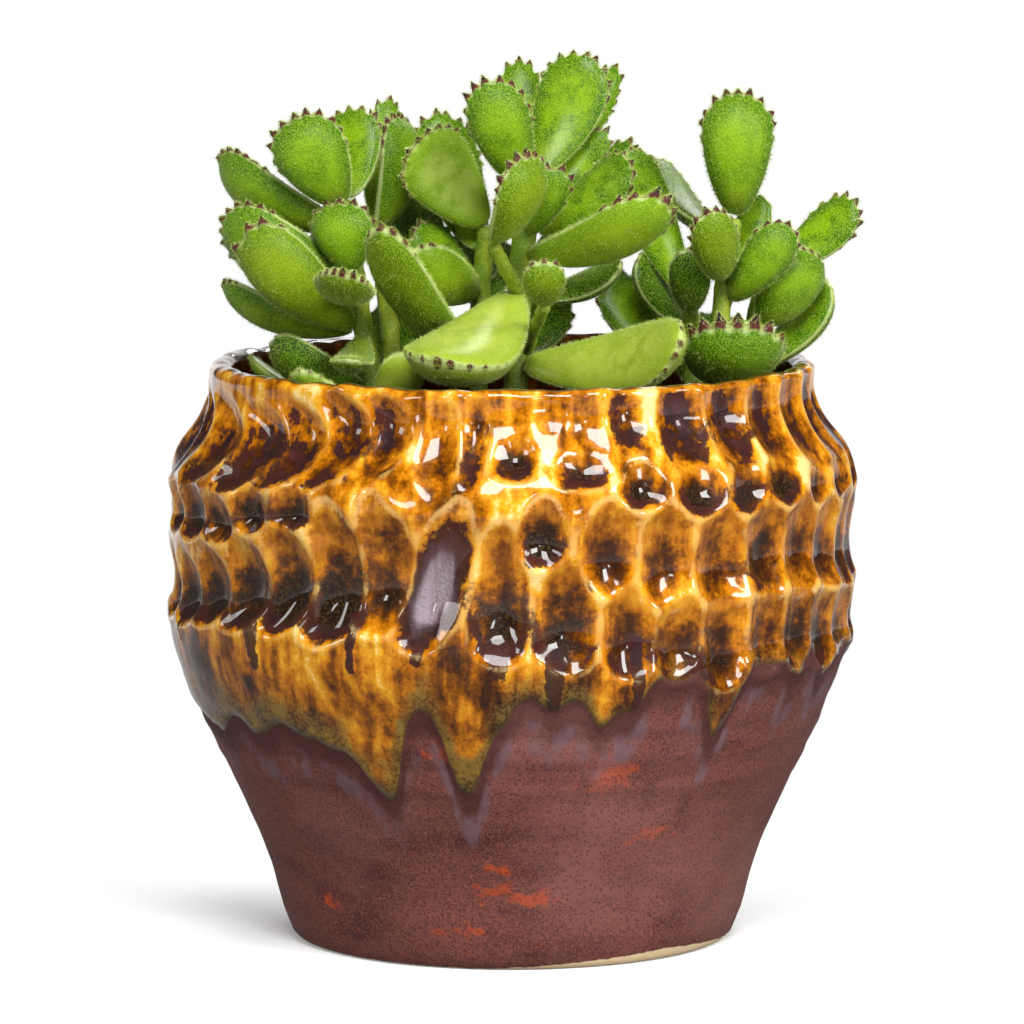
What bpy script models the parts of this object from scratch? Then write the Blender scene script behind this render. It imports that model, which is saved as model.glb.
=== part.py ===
"""Potted cotyledon: a fuzzy, toothed bear's-paw succulent growing in a carved, glazed pot.

Units are metres, +Z is up and -Y is the front. The origin is the middle of the
pot's foot, on the surface it stands on. Sizes below are written in millimetres
and turned into metres by MM.
"""
import math

import bmesh
import bpy
from mathutils import Matrix, Vector

MM = 0.001
GAP = 0.3                    # clearance between neighbouring solids

# pot
POT_HEIGHT = 117.0
FOOT_RADIUS = 44.8
BELLY_RADIUS = 69.3
RIM_RADIUS = 61.4
WALL = 4.6
FLOOR = 7.0
RIM_ROUND = 1.6
POT_COLUMNS = 96
FLUTES = 32                  # carved hollows in each row round the pot
FLUTE_DEPTH = 2.4
ROW_PITCH = 15.2             # height from one carved row to the next
ROW_MIDDLE = 80.3
ROW_SWELL = 1.1              # how far each carved row swells out
ROW_SLOPE = 3.5              # the rows fall this much from the middle to the right
CARVED_FROM = 57.0           # height where the carving starts
CARVED_LEVELS = 17           # rings of points in the carved wall
PLAIN_LEVELS = (1.2, 5.5, 20.0, 35.0, 48.0)

# soil
SOIL_TOP = 103.0
SOIL_MOUND = 1.5
SOIL_COLUMNS = 48
SOIL_CLEAR = 0.4             # room between the soil and the wall
SOCKET_DEPTH = 12.0          # how deep the stems are planted
INSIDE_LEVELS = (SOIL_TOP, 92.0, 70.0, 46.0, 24.0, FLOOR + 3.0)

# leaf, as shares of its half width unless it says mm
LEAF_COLUMNS = 20
LEAF_RINGS = 4
UPPER_DOME = 0.3
UNDER_DOME = 0.6
ARCH = 0.09                  # bend along the leaf, as a share of its length
TOOTH = 0.9                  # mm
TOOTH_COLUMNS = (-4, -2, 0, 2, 4)
TOOTH_FAN = 0.62             # the teeth point away from this share of the length
FACE_CENTRE = 0.55           # where the middles of the two faces lie along the leaf
TIP_CROWDING = 0.35          # how much closer the columns are drawn near the tip
FLAT = 1e-4                  # a sine this small counts as nothing

GREEN = (0.19, 0.36, 0.02, 1.0)
STEM_GREEN = (0.33, 0.42, 0.05, 1.0)
SOIL_BROWN = (0.05, 0.03, 0.018, 1.0)
AMBER_GLAZE = (0.42, 0.17, 0.03, 1.0)

# Each stem: its radius and the points its middle line goes through, bottom to
# top. A planted stem starts straight above its socket.
STEMS = {
    "stem_left": (2.1, [(-27, -8, 104), (-28, -8, 114), (-31, -8, 130), (-32.5, -8, 143), (-32.5, -7, 150)]),
    "stem_left_rear": (1.9, [(-24, 3, 104), (-24.5, 3, 120), (-26, 3, 133), (-27, 4, 143)]),
    "stem_middle_rear": (1.9, [(-6.5, 5, 104), (-7, 5, 120), (-6, 5, 134), (-5, 4, 144)]),
    "stem_middle": (2.5, [
        (0.5, -6, 104), (1, -6, 120), (1.5, -6, 132), (2.3, -6, 141), (3.2, -5.5, 149), (5.5, -5, 155),
    ]),
    "stem_right": (1.9, [(42, -4, 104), (42, -4, 120), (42.5, -4, 132), (45, -3, 146)]),
    "stem_right_inner": (1.5, [(36.5, 4, 104), (36.5, 4, 118), (36, 3, 129)]),
    "stem_right_outer": (1.7, [(48.5, 3, 104), (48.5, 3, 118), (49.5, 2, 128), (52, 2, 135)]),
}
# A side shoot leaves its parent stem and carries one leaf on its end.
SHOOTS = {
    "shoot_upper": (1.4, "stem_middle", [(1.1, -9.7, 132), (-1.4, -14.8, 137), (-3.8, -19, 142)]),
    "shoot_lower": (1.2, "stem_middle", [(3, -10, 119.5), (4.5, -19, 125), (6.5, -28, 130.5)]),
}

# Each leaf: the stem it grows on, the height where it joins, its tip, its half
# width and the way its upper face looks.
LEAVES = {
    "leaf_left_01": ("stem_left", 149, (-43.5, -14, 166.5), 7.1, (0, 1, 0.2)),
    "leaf_left_02": ("stem_left", 151, (-32.5, 4, 167), 5.6, (-0.3, -1, 0)),
    "leaf_left_03": ("stem_left_rear", 140, (-25.3, 22, 168), 4.0, (0.4, -1, 0)),
    "leaf_left_04": ("stem_left_rear", 143, (-23, 9, 165), 6.8, (-1, 0.6, 0)),
    "leaf_left_05": ("stem_left", 145, (-58.5, 6, 157), 6.2, (0.3, 1, 0.7)),
    "leaf_left_06": ("stem_left", 136, (-57.5, -4, 145.5), 7.0, (0, 1, 0.5)),
    "leaf_left_07": ("stem_left", 125, (-52.5, -14, 144), 7.0, (0.1, 1, 0.3)),
    "leaf_left_08": ("stem_left", 124.5, (-58, 2, 132), 5.4, (0, 0.8, 1)),
    "leaf_left_09": ("stem_left", 136, (-34.3, -13, 149.5), 6.2, (0.3, 1, 0.2)),
    "leaf_left_10": ("stem_left", 135, (-33, -40, 138), 6.0, (0.2, 0.2, 1)),
    "leaf_left_11": ("stem_left", 113, (-48.3, -5, 120.8), 5.2, (0, 0.9, 0.6)),
    "leaf_left_12": ("stem_left", 108, (-53, 10, 116.5), 4.4, (0, 0.5, 1)),
    "leaf_left_13": ("stem_left", 110, (-42, -34, 118), 4.4, (0, 0.3, 1)),
    "leaf_left_14": ("stem_left", 123, (-32.5, -34, 120.2), 4.0, (0, -0.5, 1)),
    "leaf_left_15": ("stem_left", 107, (-21, -22, 120.5), 4.8, (-0.2, 1, 0.5)),
    "leaf_left_16": ("stem_middle_rear", 119, (-26, -30, 146), 6.2, (0.5, 1, 0.3)),
    "leaf_middle_01": ("stem_middle_rear", 145, (-18.6, -6, 161.6), 7.6, (0.1, -1, 0.3)),
    "leaf_middle_02": ("stem_middle_rear", 139, (-15.6, 20, 165), 6.4, (0.2, -1, 0.2)),
    "leaf_middle_03": ("stem_middle", 152, (-5, -15, 173.8), 6.0, (0, 1, 0.1)),
    "leaf_middle_04": ("stem_middle", 153, (1.2, 14, 176), 4.8, (0, -1, 0.2)),
    "leaf_middle_05": ("stem_middle", 156, (14.6, 2, 178), 6.9, (-0.2, -1, 0.2)),
    "leaf_middle_06": ("stem_middle", 151, (21.2, 22, 174.5), 4.0, (0, -1, 0)),
    "leaf_middle_07": ("stem_middle", 148, (18.8, 2, 162.5), 3.2, (0, -1, 0.3)),
    "leaf_middle_08": ("stem_middle", 143.5, (9.5, -17, 156.5), 3.5, (0, 1, 0)),
    "leaf_middle_09": ("stem_middle", 144, (23.4, -12, 157.6), 5.6, (0, -0.9, 0.8)),
    "leaf_middle_10": ("stem_middle", 138, (23.4, 13, 160), 4.8, (0, -0.5, 1)),
    "leaf_middle_11": ("stem_middle", 139.3, (30.2, -30, 151.3), 6.4, (-0.1, 1, 0.7)),
    "leaf_middle_12": ("stem_middle", 131, (21.7, -10, 137.5), 4.8, (0, -0.5, 1)),
    "leaf_middle_13": ("stem_middle_rear", 132, (-19.5, 1, 142.6), 6.4, (0.2, -1, 0.7)),
    "leaf_middle_14": ("stem_middle_rear", 130, (-20.5, -12, 139.5), 6.4, (0, 1, 0.4)),
    "leaf_middle_15": ("stem_middle_rear", 132, (-8, 21, 142), 5.2, (0, -1, 0.5)),
    "leaf_middle_16": ("shoot_upper", 142, (2.6, -27, 160), 6.6, (-1, 0.9, 0)),
    "leaf_middle_17": ("stem_middle", 131, (-15, -44, 121), 10.2, (0, -0.4, 1)),
    "leaf_middle_18": ("shoot_lower", 130.5, (6.2, -39, 140), 4.2, (0, 1, 0.3)),
    "leaf_middle_19": ("stem_middle", 117, (33, -40, 124.5), 7.4, (0, -1, 0.5)),
    "leaf_right_01": ("stem_right", 147, (45.3, -6, 171), 7.0, (0, 1, 0)),
    "leaf_right_02": ("stem_right", 133, (50.6, 7, 149.5), 3.6, (-0.2, -1, 0.3)),
    "leaf_right_03": ("stem_right", 134, (38.5, -22, 148.4), 4.8, (-0.3, 1, 0.2)),
    "leaf_right_04": ("stem_right", 130, (55.4, -11, 145), 4.7, (0.1, 1, 0.3)),
    "leaf_right_05": ("stem_right", 143, (31, 24, 155.4), 5.0, (0.6, -0.8, 0.2)),
    "leaf_right_06": ("stem_right_inner", 127, (35.5, -9, 140), 4.2, (0, 1, 0)),
    "leaf_right_07": ("stem_right_inner", 124, (26.4, 4, 138), 5.0, (0.6, -0.6, 0.9)),
    "leaf_right_08": ("stem_right_outer", 135, (69, 4, 148.5), 5.2, (-0.3, -1, 0.8)),
    "leaf_right_09": ("stem_right_outer", 124.5, (58.4, -3, 140), 7.4, (-0.4, 0.9, 0.5)),
    "leaf_right_10": ("stem_right_outer", 116, (63.5, 6, 132.5), 6.2, (-0.8, -0.6, 0.6)),
    "leaf_right_11": ("stem_right", 116, (44.8, -31, 127), 9.8, (0, 0.5, 0.85)),
    "leaf_right_12": ("stem_right_inner", 129, (24, 2, 159), 5.2, (0.3, -1, 0.2)),
    "leaf_right_13": ("stem_right", 112, (46, 28, 118), 5.2, (0, -0.3, 1)),
    "leaf_right_14": ("stem_right_inner", 116, (20, 13, 132.5), 6.2, (0.4, -1, 0.6)),
}


def make_material(name, colour, roughness):
    """A plain Principled material with one colour."""
    material = bpy.data.materials.new(name)
    material.use_nodes = True
    shader = material.node_tree.nodes["Principled BSDF"]
    shader.inputs["Base Color"].default_value = colour
    shader.inputs["Roughness"].default_value = roughness
    material.diffuse_color = colour
    return material


def add_object(name, mesh, collection, material):
    """Put a mesh in the collection as a smooth-shaded object."""
    obj = bpy.data.objects.new(name, mesh)
    collection.objects.link(obj)
    mesh.materials.clear()
    mesh.materials.append(material)
    mesh.shade_smooth()
    return obj


def curve_through(points, t):
    """A point on the smooth curve through all the points, for t from 0 to 1."""
    last = len(points) - 1
    place = min(max(t, 0.0), 1.0) * last
    i = min(int(place), last - 1)
    u = place - i
    before, start = points[max(i - 1, 0)], points[i]
    end, after = points[i + 1], points[min(i + 2, last)]
    return (
        start
        + (end - before) * (0.5 * u)
        + (before * 2 - start * 5 + end * 4 - after) * (0.5 * u * u)
        + (start * 3 - before - end * 3 + after) * (0.5 * u * u * u)
    )


# ---- pot ----

def pot_outline():
    """The outer profile from foot to rim as a smooth curve of (radius, height)."""
    key_points = [
        (FOOT_RADIUS, 0.0),
        (FOOT_RADIUS + 2.6, 5.5),
        (FOOT_RADIUS + 6.5, 20.0),
        (60.7, 40.0),
        (67.4, 56.0),
        (BELLY_RADIUS, 68.0),
        (BELLY_RADIUS, 82.0),
        (68.6, 96.0),
        (65.0, 104.0),
        (RIM_RADIUS + 0.6, 110.0),
        (RIM_RADIUS, POT_HEIGHT - RIM_ROUND),
    ]
    return [Vector((radius, 0.0, height)) for radius, height in key_points]


def radius_at(outline, height):
    """The radius where the outline passes a height, by halving the interval."""
    low, high = 0.0, 1.0
    for _ in range(30):
        middle = (low + high) / 2
        if curve_through(outline, middle).z < height:
            low = middle
        else:
            high = middle
    return curve_through(outline, low).x


def carving(angle, height):
    """How far the carved surface stands out from the plain profile.

    The angle is 0 at the front and grows towards +X.
    """
    row_height = height + ROW_SLOPE * math.sin(angle)
    grow = min(max((row_height - CARVED_FROM) / 6.0, 0.0), 1.0)
    flute_share = grow * (0.5 - 0.5 * math.cos(FLUTES * angle))
    row_share = 0.5 + 0.5 * math.cos(2 * math.pi * (row_height - ROW_MIDDLE) / ROW_PITCH)
    near_rim = min(max((height - 100.0) / 6.0, 0.0), 1.0)
    swell = grow * (1.0 - near_rim) * ROW_SWELL * (2.0 * row_share - 1.0)
    depth = FLUTE_DEPTH * (0.35 + 0.65 * max(row_share, near_rim * 0.6))
    return swell - depth * flute_share


def inner_radius(height):
    """The pot's inside radius at a height."""
    return radius_at(pot_outline(), height) - WALL


def pot_profile():
    """(radius, height, carved share) round the wall: foot, outside, rim, inside."""
    outline = pot_outline()
    shoulder = POT_HEIGHT - RIM_ROUND
    first = CARVED_FROM - 1.0
    step = (shoulder - first) / (CARVED_LEVELS - 1)
    profile = [(0.0, 0.0, 0.0), (FOOT_RADIUS - 1.0, 0.0, 0.0)]
    profile += [(radius_at(outline, height), height, 0.0) for height in PLAIN_LEVELS]
    for level in range(CARVED_LEVELS):
        height = first + step * level
        profile.append((radius_at(outline, height), height, 1.0))
    profile.append((RIM_RADIUS - WALL / 2, POT_HEIGHT, 0.7))
    profile.append((RIM_RADIUS - WALL, shoulder, 0.5))
    profile += [(inner_radius(height), height, 0.0) for height in INSIDE_LEVELS]
    profile += [(inner_radius(FLOOR) - 1.5, FLOOR, 0.0), (0.0, FLOOR, 0.0)]
    return profile


def build_pot(collection):
    """Turn the profile round the axis, then carve the outside."""
    bm = bmesh.new()
    carved = bm.verts.layers.float.new("carved")
    line = []
    for radius, height, share in pot_profile():
        vert = bm.verts.new((radius * MM, 0.0, height * MM))
        vert[carved] = share
        line.append(vert)
    edges = [bm.edges.new(pair) for pair in zip(line, line[1:])]
    bmesh.ops.spin(
        bm, geom=line + edges, cent=(0, 0, 0), axis=(0, 0, 1),
        angle=2 * math.pi, steps=POT_COLUMNS, use_merge=True,
    )
    bmesh.ops.remove_doubles(bm, verts=bm.verts, dist=0.00001)
    for vert in bm.verts:
        if vert[carved] > 0.0:
            angle = math.atan2(vert.co.x, -vert.co.y)
            radius = math.hypot(vert.co.x, vert.co.y)
            stretch = 1.0 + vert[carved] * carving(angle, vert.co.z / MM) * MM / radius
            vert.co.x *= stretch
            vert.co.y *= stretch
    bmesh.ops.recalc_face_normals(bm, faces=bm.faces)
    mesh = bpy.data.meshes.new("pot")
    bm.to_mesh(mesh)
    bm.free()
    return add_object("pot", mesh, collection, make_material("glazed_pot", AMBER_GLAZE, 0.2))


# ---- stems ----

def stem_points(points):
    return [Vector(point) * MM for point in points]


def build_tube(name, radius, points, collection, material, samples=7):
    """A round stem: a curve through the points with a bevel and filled caps."""
    curve = bpy.data.curves.new(name, "CURVE")
    curve.dimensions = "3D"
    curve.bevel_depth = radius * MM
    curve.bevel_resolution = 2
    curve.use_fill_caps = True
    spline = curve.splines.new("POLY")
    spline.points.add(samples - 1)
    for i, point in enumerate(spline.points):
        point.co = (*curve_through(points, i / (samples - 1)), 1.0)
    curve.materials.append(material)
    obj = bpy.data.objects.new(name, curve)
    collection.objects.link(obj)
    return obj


def build_stems(collection, material):
    """Build every stem and give back each one's radius and middle line."""
    lines = {}
    for name, (radius, points) in STEMS.items():
        x, y, start = points[0]
        planted = [(x, y, start - SOCKET_DEPTH)] + points
        build_tube(name, radius, stem_points(planted), collection, material, samples=8)
        lines[name] = (radius, stem_points(points))
    for name, (radius, _, points) in SHOOTS.items():
        build_tube(name, radius, stem_points(points), collection, material, samples=5)
        lines[name] = (radius, stem_points(points))
    return lines


# ---- soil ----

def build_soil(collection, cutters):
    """The soil fills the pot to SOIL_TOP, with a socket for each planted stem."""
    edge = inner_radius(SOIL_TOP) - SOIL_CLEAR
    profile = [(0.0, SOIL_TOP + SOIL_MOUND), (edge * 0.5, SOIL_TOP + SOIL_MOUND * 0.8), (edge, SOIL_TOP)]
    profile += [(inner_radius(height) - SOIL_CLEAR, height) for height in INSIDE_LEVELS[1:]]
    profile += [(inner_radius(FLOOR) - 1.5 - SOIL_CLEAR, FLOOR + GAP), (0.0, FLOOR + GAP)]
    mesh = bpy.data.meshes.new("soil")
    bm = bmesh.new()
    line = [bm.verts.new((radius * MM, 0.0, height * MM)) for radius, height in profile]
    for pair in zip(line, line[1:]):
        bm.edges.new(pair)
    bm.to_mesh(mesh)
    bm.free()
    soil = add_object("soil", mesh, collection, make_material("potting_soil", SOIL_BROWN, 0.95))
    screw = soil.modifiers.new("turned", "SCREW")
    screw.steps = SOIL_COLUMNS
    screw.render_steps = SOIL_COLUMNS
    screw.use_merge_vertices = True
    screw.merge_threshold = 0.0001
    for name, (radius, points) in STEMS.items():
        x, y, start = points[0]
        bottom = start - SOCKET_DEPTH - GAP
        top = SOIL_TOP + SOIL_MOUND + 5.0
        bpy.ops.mesh.primitive_cylinder_add(
            vertices=16, radius=(radius * 1.09 + GAP) * MM, depth=(top - bottom) * MM,
            location=(x * MM, y * MM, (top + bottom) / 2 * MM),
        )
        cutter = bpy.context.object
        cutter.name = f"socket_{name}"
        cutter.hide_render = True
        cutter.display_type = "WIRE"
        for owner in list(cutter.users_collection):
            owner.objects.unlink(cutter)
        cutters.objects.link(cutter)
    sockets = soil.modifiers.new("sockets", "BOOLEAN")
    sockets.operand_type = "COLLECTION"
    sockets.collection = cutters
    sockets.solver = "EXACT"
    return soil


# ---- leaves ----

def leaf_outline(s):
    """Half width along the leaf, as a share of its widest, from base 0 to tip 1."""
    return 1.35 * math.sqrt(s + 0.02) * math.sqrt(max(1.0 - s ** 4, 0.0))


def leaf_point(s, across, side, length, half_width):
    """A point of the leaf in its own frame: +X to the tip, +Z out of the upper face.

    across runs from -1 to 1 between the margins. side is 1 on the upper face,
    -1 on the under face and 0 on the margin.
    """
    width = half_width * leaf_outline(s)
    dome = (UPPER_DOME if side > 0 else UNDER_DOME) * half_width * leaf_outline(s) ** 0.7
    bow = -4.0 * ARCH * length * s * (1.0 - s)
    z = side * dome * math.sqrt(max(1.0 - across * across, 0.0)) + bow
    return Vector((length * s, across * width, z))


def build_leaf(name, base, tip, half_width, facing, collection, material):
    """A thick leaf with teeth round its tip, shaped from a sphere.

    The sphere's equator becomes the margin, and its poles the middles of the
    two faces.
    """
    length = (tip - base).length
    bm = bmesh.new()
    bmesh.ops.create_uvsphere(bm, u_segments=LEAF_COLUMNS, v_segments=LEAF_RINGS, radius=1.0)
    turn = 2 * math.pi / LEAF_COLUMNS
    for vert in bm.verts:
        round_angle = math.atan2(vert.co.y, vert.co.x)
        rise = max(-1.0, min(1.0, vert.co.z))
        reach = math.sqrt(1.0 - rise * rise)
        column = round(round_angle / turn)
        # columns are drawn closer together near the tip, where the teeth are
        angle = round_angle - TIP_CROWDING * math.sin(round_angle)
        margin_s = 0.5 + 0.5 * math.cos(angle)
        margin_y = 0.0
        if abs(math.sin(angle)) > FLAT:
            margin_y = math.copysign(leaf_outline(margin_s), math.sin(angle))
        s = FACE_CENTRE + (margin_s - FACE_CENTRE) * reach
        y = margin_y * reach
        across = max(-1.0, min(1.0, y / max(leaf_outline(s), 1e-6)))
        side = 0 if abs(rise) < FLAT else math.copysign(1, rise)
        point = leaf_point(s, across, side, length, half_width * MM)
        if side == 0 and column in TOOTH_COLUMNS:
            outward = Vector((margin_s - TOOTH_FAN, margin_y * half_width * MM / length, 0.0)).normalized()
            point += outward * TOOTH * MM
        vert.co = point
    bmesh.ops.recalc_face_normals(bm, faces=bm.faces)
    mesh = bpy.data.meshes.new(name)
    bm.to_mesh(mesh)
    bm.free()
    leaf = add_object(name, mesh, collection, material)
    along = (tip - base).normalized()
    across_leaf = Vector(facing).cross(along).normalized()
    up = along.cross(across_leaf)
    leaf.matrix_world = Matrix.Translation(base) @ Matrix((along, across_leaf, up)).transposed().to_4x4()
    return leaf


def joint_on_stem(radius, line, height, tip):
    """Where a leaf joins its stem: on the stem's side at a height, or on its end."""
    target = height * MM
    if target >= line[-1].z - 0.0005:
        end = line[-1]
        return end + (tip - end).normalized() * GAP * 3 * MM
    low, high = 0.0, 1.0
    for _ in range(30):
        middle = (low + high) / 2
        if curve_through(line, middle).z < target:
            low = middle
        else:
            high = middle
    centre = curve_through(line, low)
    direction = (curve_through(line, low + 0.02) - curve_through(line, low - 0.02)).normalized()
    outward = tip - centre
    outward = (outward - direction * outward.dot(direction)).normalized()
    return centre + outward * (radius + GAP) * MM


def build_leaves(lines, collection, material):
    for name, (stem, height, tip, half_width, facing) in LEAVES.items():
        radius, line = lines[stem]
        end = Vector(tip) * MM
        base = joint_on_stem(radius, line, height, end)
        build_leaf(name, base, end, half_width, facing, collection, material)


def new_collection(name):
    collection = bpy.data.collections.new(name)
    bpy.context.scene.collection.children.link(collection)
    return collection


def main():
    for obj in list(bpy.data.objects):
        bpy.data.objects.remove(obj, do_unlink=True)
    parts = new_collection("potted_cotyledon")
    cutters = new_collection("cutters")
    build_pot(parts)
    build_soil(parts, cutters)
    lines = build_stems(parts, make_material("green_stem", STEM_GREEN, 0.6))
    build_leaves(lines, parts, make_material("fuzzy_leaf", GREEN, 0.6))


main()
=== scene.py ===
import functools
import math
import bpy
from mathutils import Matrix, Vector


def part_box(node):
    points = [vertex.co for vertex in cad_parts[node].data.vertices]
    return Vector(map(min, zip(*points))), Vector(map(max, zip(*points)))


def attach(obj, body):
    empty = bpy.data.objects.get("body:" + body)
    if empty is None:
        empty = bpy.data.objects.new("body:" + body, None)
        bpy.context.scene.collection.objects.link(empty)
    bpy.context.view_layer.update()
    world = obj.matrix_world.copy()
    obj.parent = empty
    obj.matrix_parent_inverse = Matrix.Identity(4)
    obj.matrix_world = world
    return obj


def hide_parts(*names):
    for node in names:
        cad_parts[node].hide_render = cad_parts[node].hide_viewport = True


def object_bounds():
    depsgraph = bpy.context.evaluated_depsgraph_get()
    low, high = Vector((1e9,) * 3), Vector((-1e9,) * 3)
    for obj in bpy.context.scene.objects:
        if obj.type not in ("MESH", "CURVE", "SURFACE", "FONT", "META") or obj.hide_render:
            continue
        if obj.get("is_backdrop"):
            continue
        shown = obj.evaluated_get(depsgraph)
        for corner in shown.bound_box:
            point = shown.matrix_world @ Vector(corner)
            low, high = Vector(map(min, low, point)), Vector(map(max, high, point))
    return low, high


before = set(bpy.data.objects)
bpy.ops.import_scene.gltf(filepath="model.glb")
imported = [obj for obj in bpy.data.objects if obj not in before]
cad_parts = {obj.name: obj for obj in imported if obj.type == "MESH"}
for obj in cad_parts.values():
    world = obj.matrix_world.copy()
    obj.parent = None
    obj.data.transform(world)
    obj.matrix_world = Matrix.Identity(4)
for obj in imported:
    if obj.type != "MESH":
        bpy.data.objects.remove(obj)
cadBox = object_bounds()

from types import SimpleNamespace

import bmesh
import bpy
import numpy as np
from mathutils import Vector, noise

mm = 0.001
print("frame loaded:", len(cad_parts), "nodes")


# node tree helpers

def linear(color):  # a colour on the 0 to 255 screen scale, as the shaders need it
    shares = [part / 255 for part in color]
    return tuple(c / 12.92 if c <= 0.04045 else ((c + 0.055) / 1.055) ** 2.4 for c in shares) + (1.0,)


def fill(tree, node, inputs):  # links sockets, and sets plain values on the node's own sockets
    for name, value in inputs.items():
        if isinstance(value, bpy.types.NodeSocket):
            tree.links.new(value, node.inputs[name])
        else:
            node.inputs[name].default_value = value


def addNode(tree, kind, inputs, **settings):
    node = tree.nodes.new(kind)
    for name, value in settings.items():
        setattr(node, name, value)
    fill(tree, node, inputs)
    return node.outputs


def nodeTools(tree):  # short forms for the nodes of one tree
    def read(name):
        return addNode(tree, "ShaderNodeAttribute", {}, attribute_name=name)["Fac"]

    def place(stretch=(1, 1, 1)):
        coords = addNode(tree, "ShaderNodeTexCoord", {})["Object"]
        return addNode(tree, "ShaderNodeMapping", {"Vector": coords, "Scale": stretch})[0]

    def calc(operation, a, b, clamp=False):
        return addNode(tree, "ShaderNodeMath", {0: a, 1: b}, operation=operation, use_clamp=clamp)[0]

    def times(*values):
        return functools.reduce(lambda a, b: calc("MULTIPLY", a, b), values)

    def plus(*values):
        return functools.reduce(lambda a, b: calc("ADD", a, b), values)

    def most(*values):
        return functools.reduce(lambda a, b: calc("MAXIMUM", a, b), values)

    def step(value, low, high):  # 0 at low, 1 at high, smooth between
        inputs = {"Value": value, "From Min": low, "From Max": high}
        return addNode(tree, "ShaderNodeMapRange", inputs, interpolation_type="SMOOTHSTEP")[0]

    def fade(value, start, low, high):  # straight from low at start to high at 1
        inputs = {"Value": value, "From Min": start, "To Min": low, "To Max": high}
        return addNode(tree, "ShaderNodeMapRange", inputs)[0]

    def layer(under, over, share):
        return addNode(tree, "ShaderNodeMix", {0: share, 6: under, 7: over}, data_type="RGBA")[2]

    def cover(under, over, *masks):
        return layer(under, over, times(*masks))

    def noiseAt(vector, scale, detail):
        inputs = {"Vector": vector, "Scale": scale, "Detail": detail}
        return addNode(tree, "ShaderNodeTexNoise", inputs)["Fac"]

    def cloud(vector, scale, detail=4.0):  # noise centred on nothing, about -0.3 to 0.3
        return calc("SUBTRACT", noiseAt(vector, scale, detail), 0.5)

    def tones(value, stops):  # a colour for each spot from 0 to 1
        node = tree.nodes.new("ShaderNodeValToRGB")
        elements = node.color_ramp.elements
        while len(elements) < len(stops):
            elements.new(0.5)
        for element, (spot, color) in zip(elements, stops):
            element.position, element.color = spot, color
        fill(tree, node, {"Fac": value})
        return node.outputs["Color"]

    def split(vector):
        return addNode(tree, "ShaderNodeSeparateXYZ", {"Vector": vector})

    def patches(under, over, vector, scale, detail=4.0, low=0.4, high=0.6):
        inputs = {"Color A": under, "Color B": over, "Vector": vector, "Scale": scale,
                  "Detail": detail, "Low": low, "High": high}
        return addNode(tree, "ShaderNodeGroup", inputs, node_tree=cloudGroup)["Color"]

    def specks(vector, scale, size, share):
        inputs = {"Vector": vector, "Scale": scale, "Size": size, "Share": share}
        return addNode(tree, "ShaderNodeGroup", inputs, node_tree=speckGroup)["Mask"]

    def dress(shader, inputs, height, strength, depth):  # the shader's own sockets, and a bump
        relief = {"Height": height, "Strength": strength, "Distance": depth}
        fill(tree, shader, {**inputs, "Normal": addNode(tree, "ShaderNodeBump", relief)[0]})

    return SimpleNamespace(**{name: tool for name, tool in locals().items() if name != "tree"})


def newGroup(name, inputs, outputs):
    tree = bpy.data.node_groups.new(name, "ShaderNodeTree")
    for label, kind, value in inputs:
        socket = tree.interface.new_socket(label, in_out="INPUT", socket_type="NodeSocket" + kind)
        if value is not None:
            socket.default_value = value
    for label, kind in outputs:
        tree.interface.new_socket(label, in_out="OUTPUT", socket_type="NodeSocket" + kind)
    start = tree.nodes.new("NodeGroupInput")
    end = tree.nodes.new("NodeGroupOutput")
    return tree, start.outputs, end


def clearTree(owner):  # of a material or the world
    owner.use_nodes = True
    owner.node_tree.nodes.clear()
    return owner.node_tree


def newMaterial(name):
    material = bpy.data.materials.new(name)
    tree = clearTree(material)
    shader = tree.nodes.new("ShaderNodeBsdfPrincipled")
    addNode(tree, "ShaderNodeOutputMaterial", {"Surface": shader.outputs[0]})
    return material, shader, nodeTools(tree)


def makeCloudGroup():  # soft patches of one colour over another
    tree, given, end = newGroup(
        "cloudPatches",
        [("Color A", "Color", (0, 0, 0, 1)), ("Color B", "Color", (1, 1, 1, 1)),
         ("Vector", "Vector", None), ("Scale", "Float", 100.0), ("Detail", "Float", 4.0),
         ("Low", "Float", 0.4), ("High", "Float", 0.6)],
        [("Color", "Color")],
    )
    n = nodeTools(tree)
    noiseHere = n.noiseAt(given["Vector"], given["Scale"], given["Detail"])
    mask = n.step(noiseHere, given["Low"], given["High"])
    fill(tree, end, {"Color": n.layer(given["Color A"], given["Color B"], mask)})
    return tree


def makeSpeckGroup():  # scattered round specks, with a size and how many of the cells hold one
    tree, given, end = newGroup(
        "scatteredSpecks",
        [("Vector", "Vector", None), ("Scale", "Float", 600.0),
         ("Size", "Float", 0.3), ("Share", "Float", 0.5)],
        [("Mask", "Float")],
    )
    n = nodeTools(tree)
    cells = addNode(tree, "ShaderNodeTexVoronoi", {"Vector": given["Vector"], "Scale": given["Scale"]})
    dot = n.step(n.calc("SUBTRACT", given["Size"], cells["Distance"]), 0.0, 0.08)
    pick = addNode(tree, "ShaderNodeSeparateColor", {"Color": cells["Color"]})[0]
    fill(tree, end, {"Mask": n.times(dot, n.calc("LESS_THAN", pick, given["Share"]))})
    return tree


cloudGroup = makeCloudGroup()
speckGroup = makeSpeckGroup()


# mesh helpers

def setAttribute(mesh, name, values):
    layer = mesh.attributes.new(name, "FLOAT", "POINT")
    layer.data.foreach_set("value", np.ascontiguousarray(values, dtype=np.float32).ravel())


def addPiece(name, mesh, *materials):
    piece = bpy.data.objects.new(name, mesh)
    bpy.context.scene.collection.objects.link(piece)
    for material in materials:
        mesh.materials.append(material)
    mesh.shade_smooth()
    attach(piece, "root")
    return piece


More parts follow.
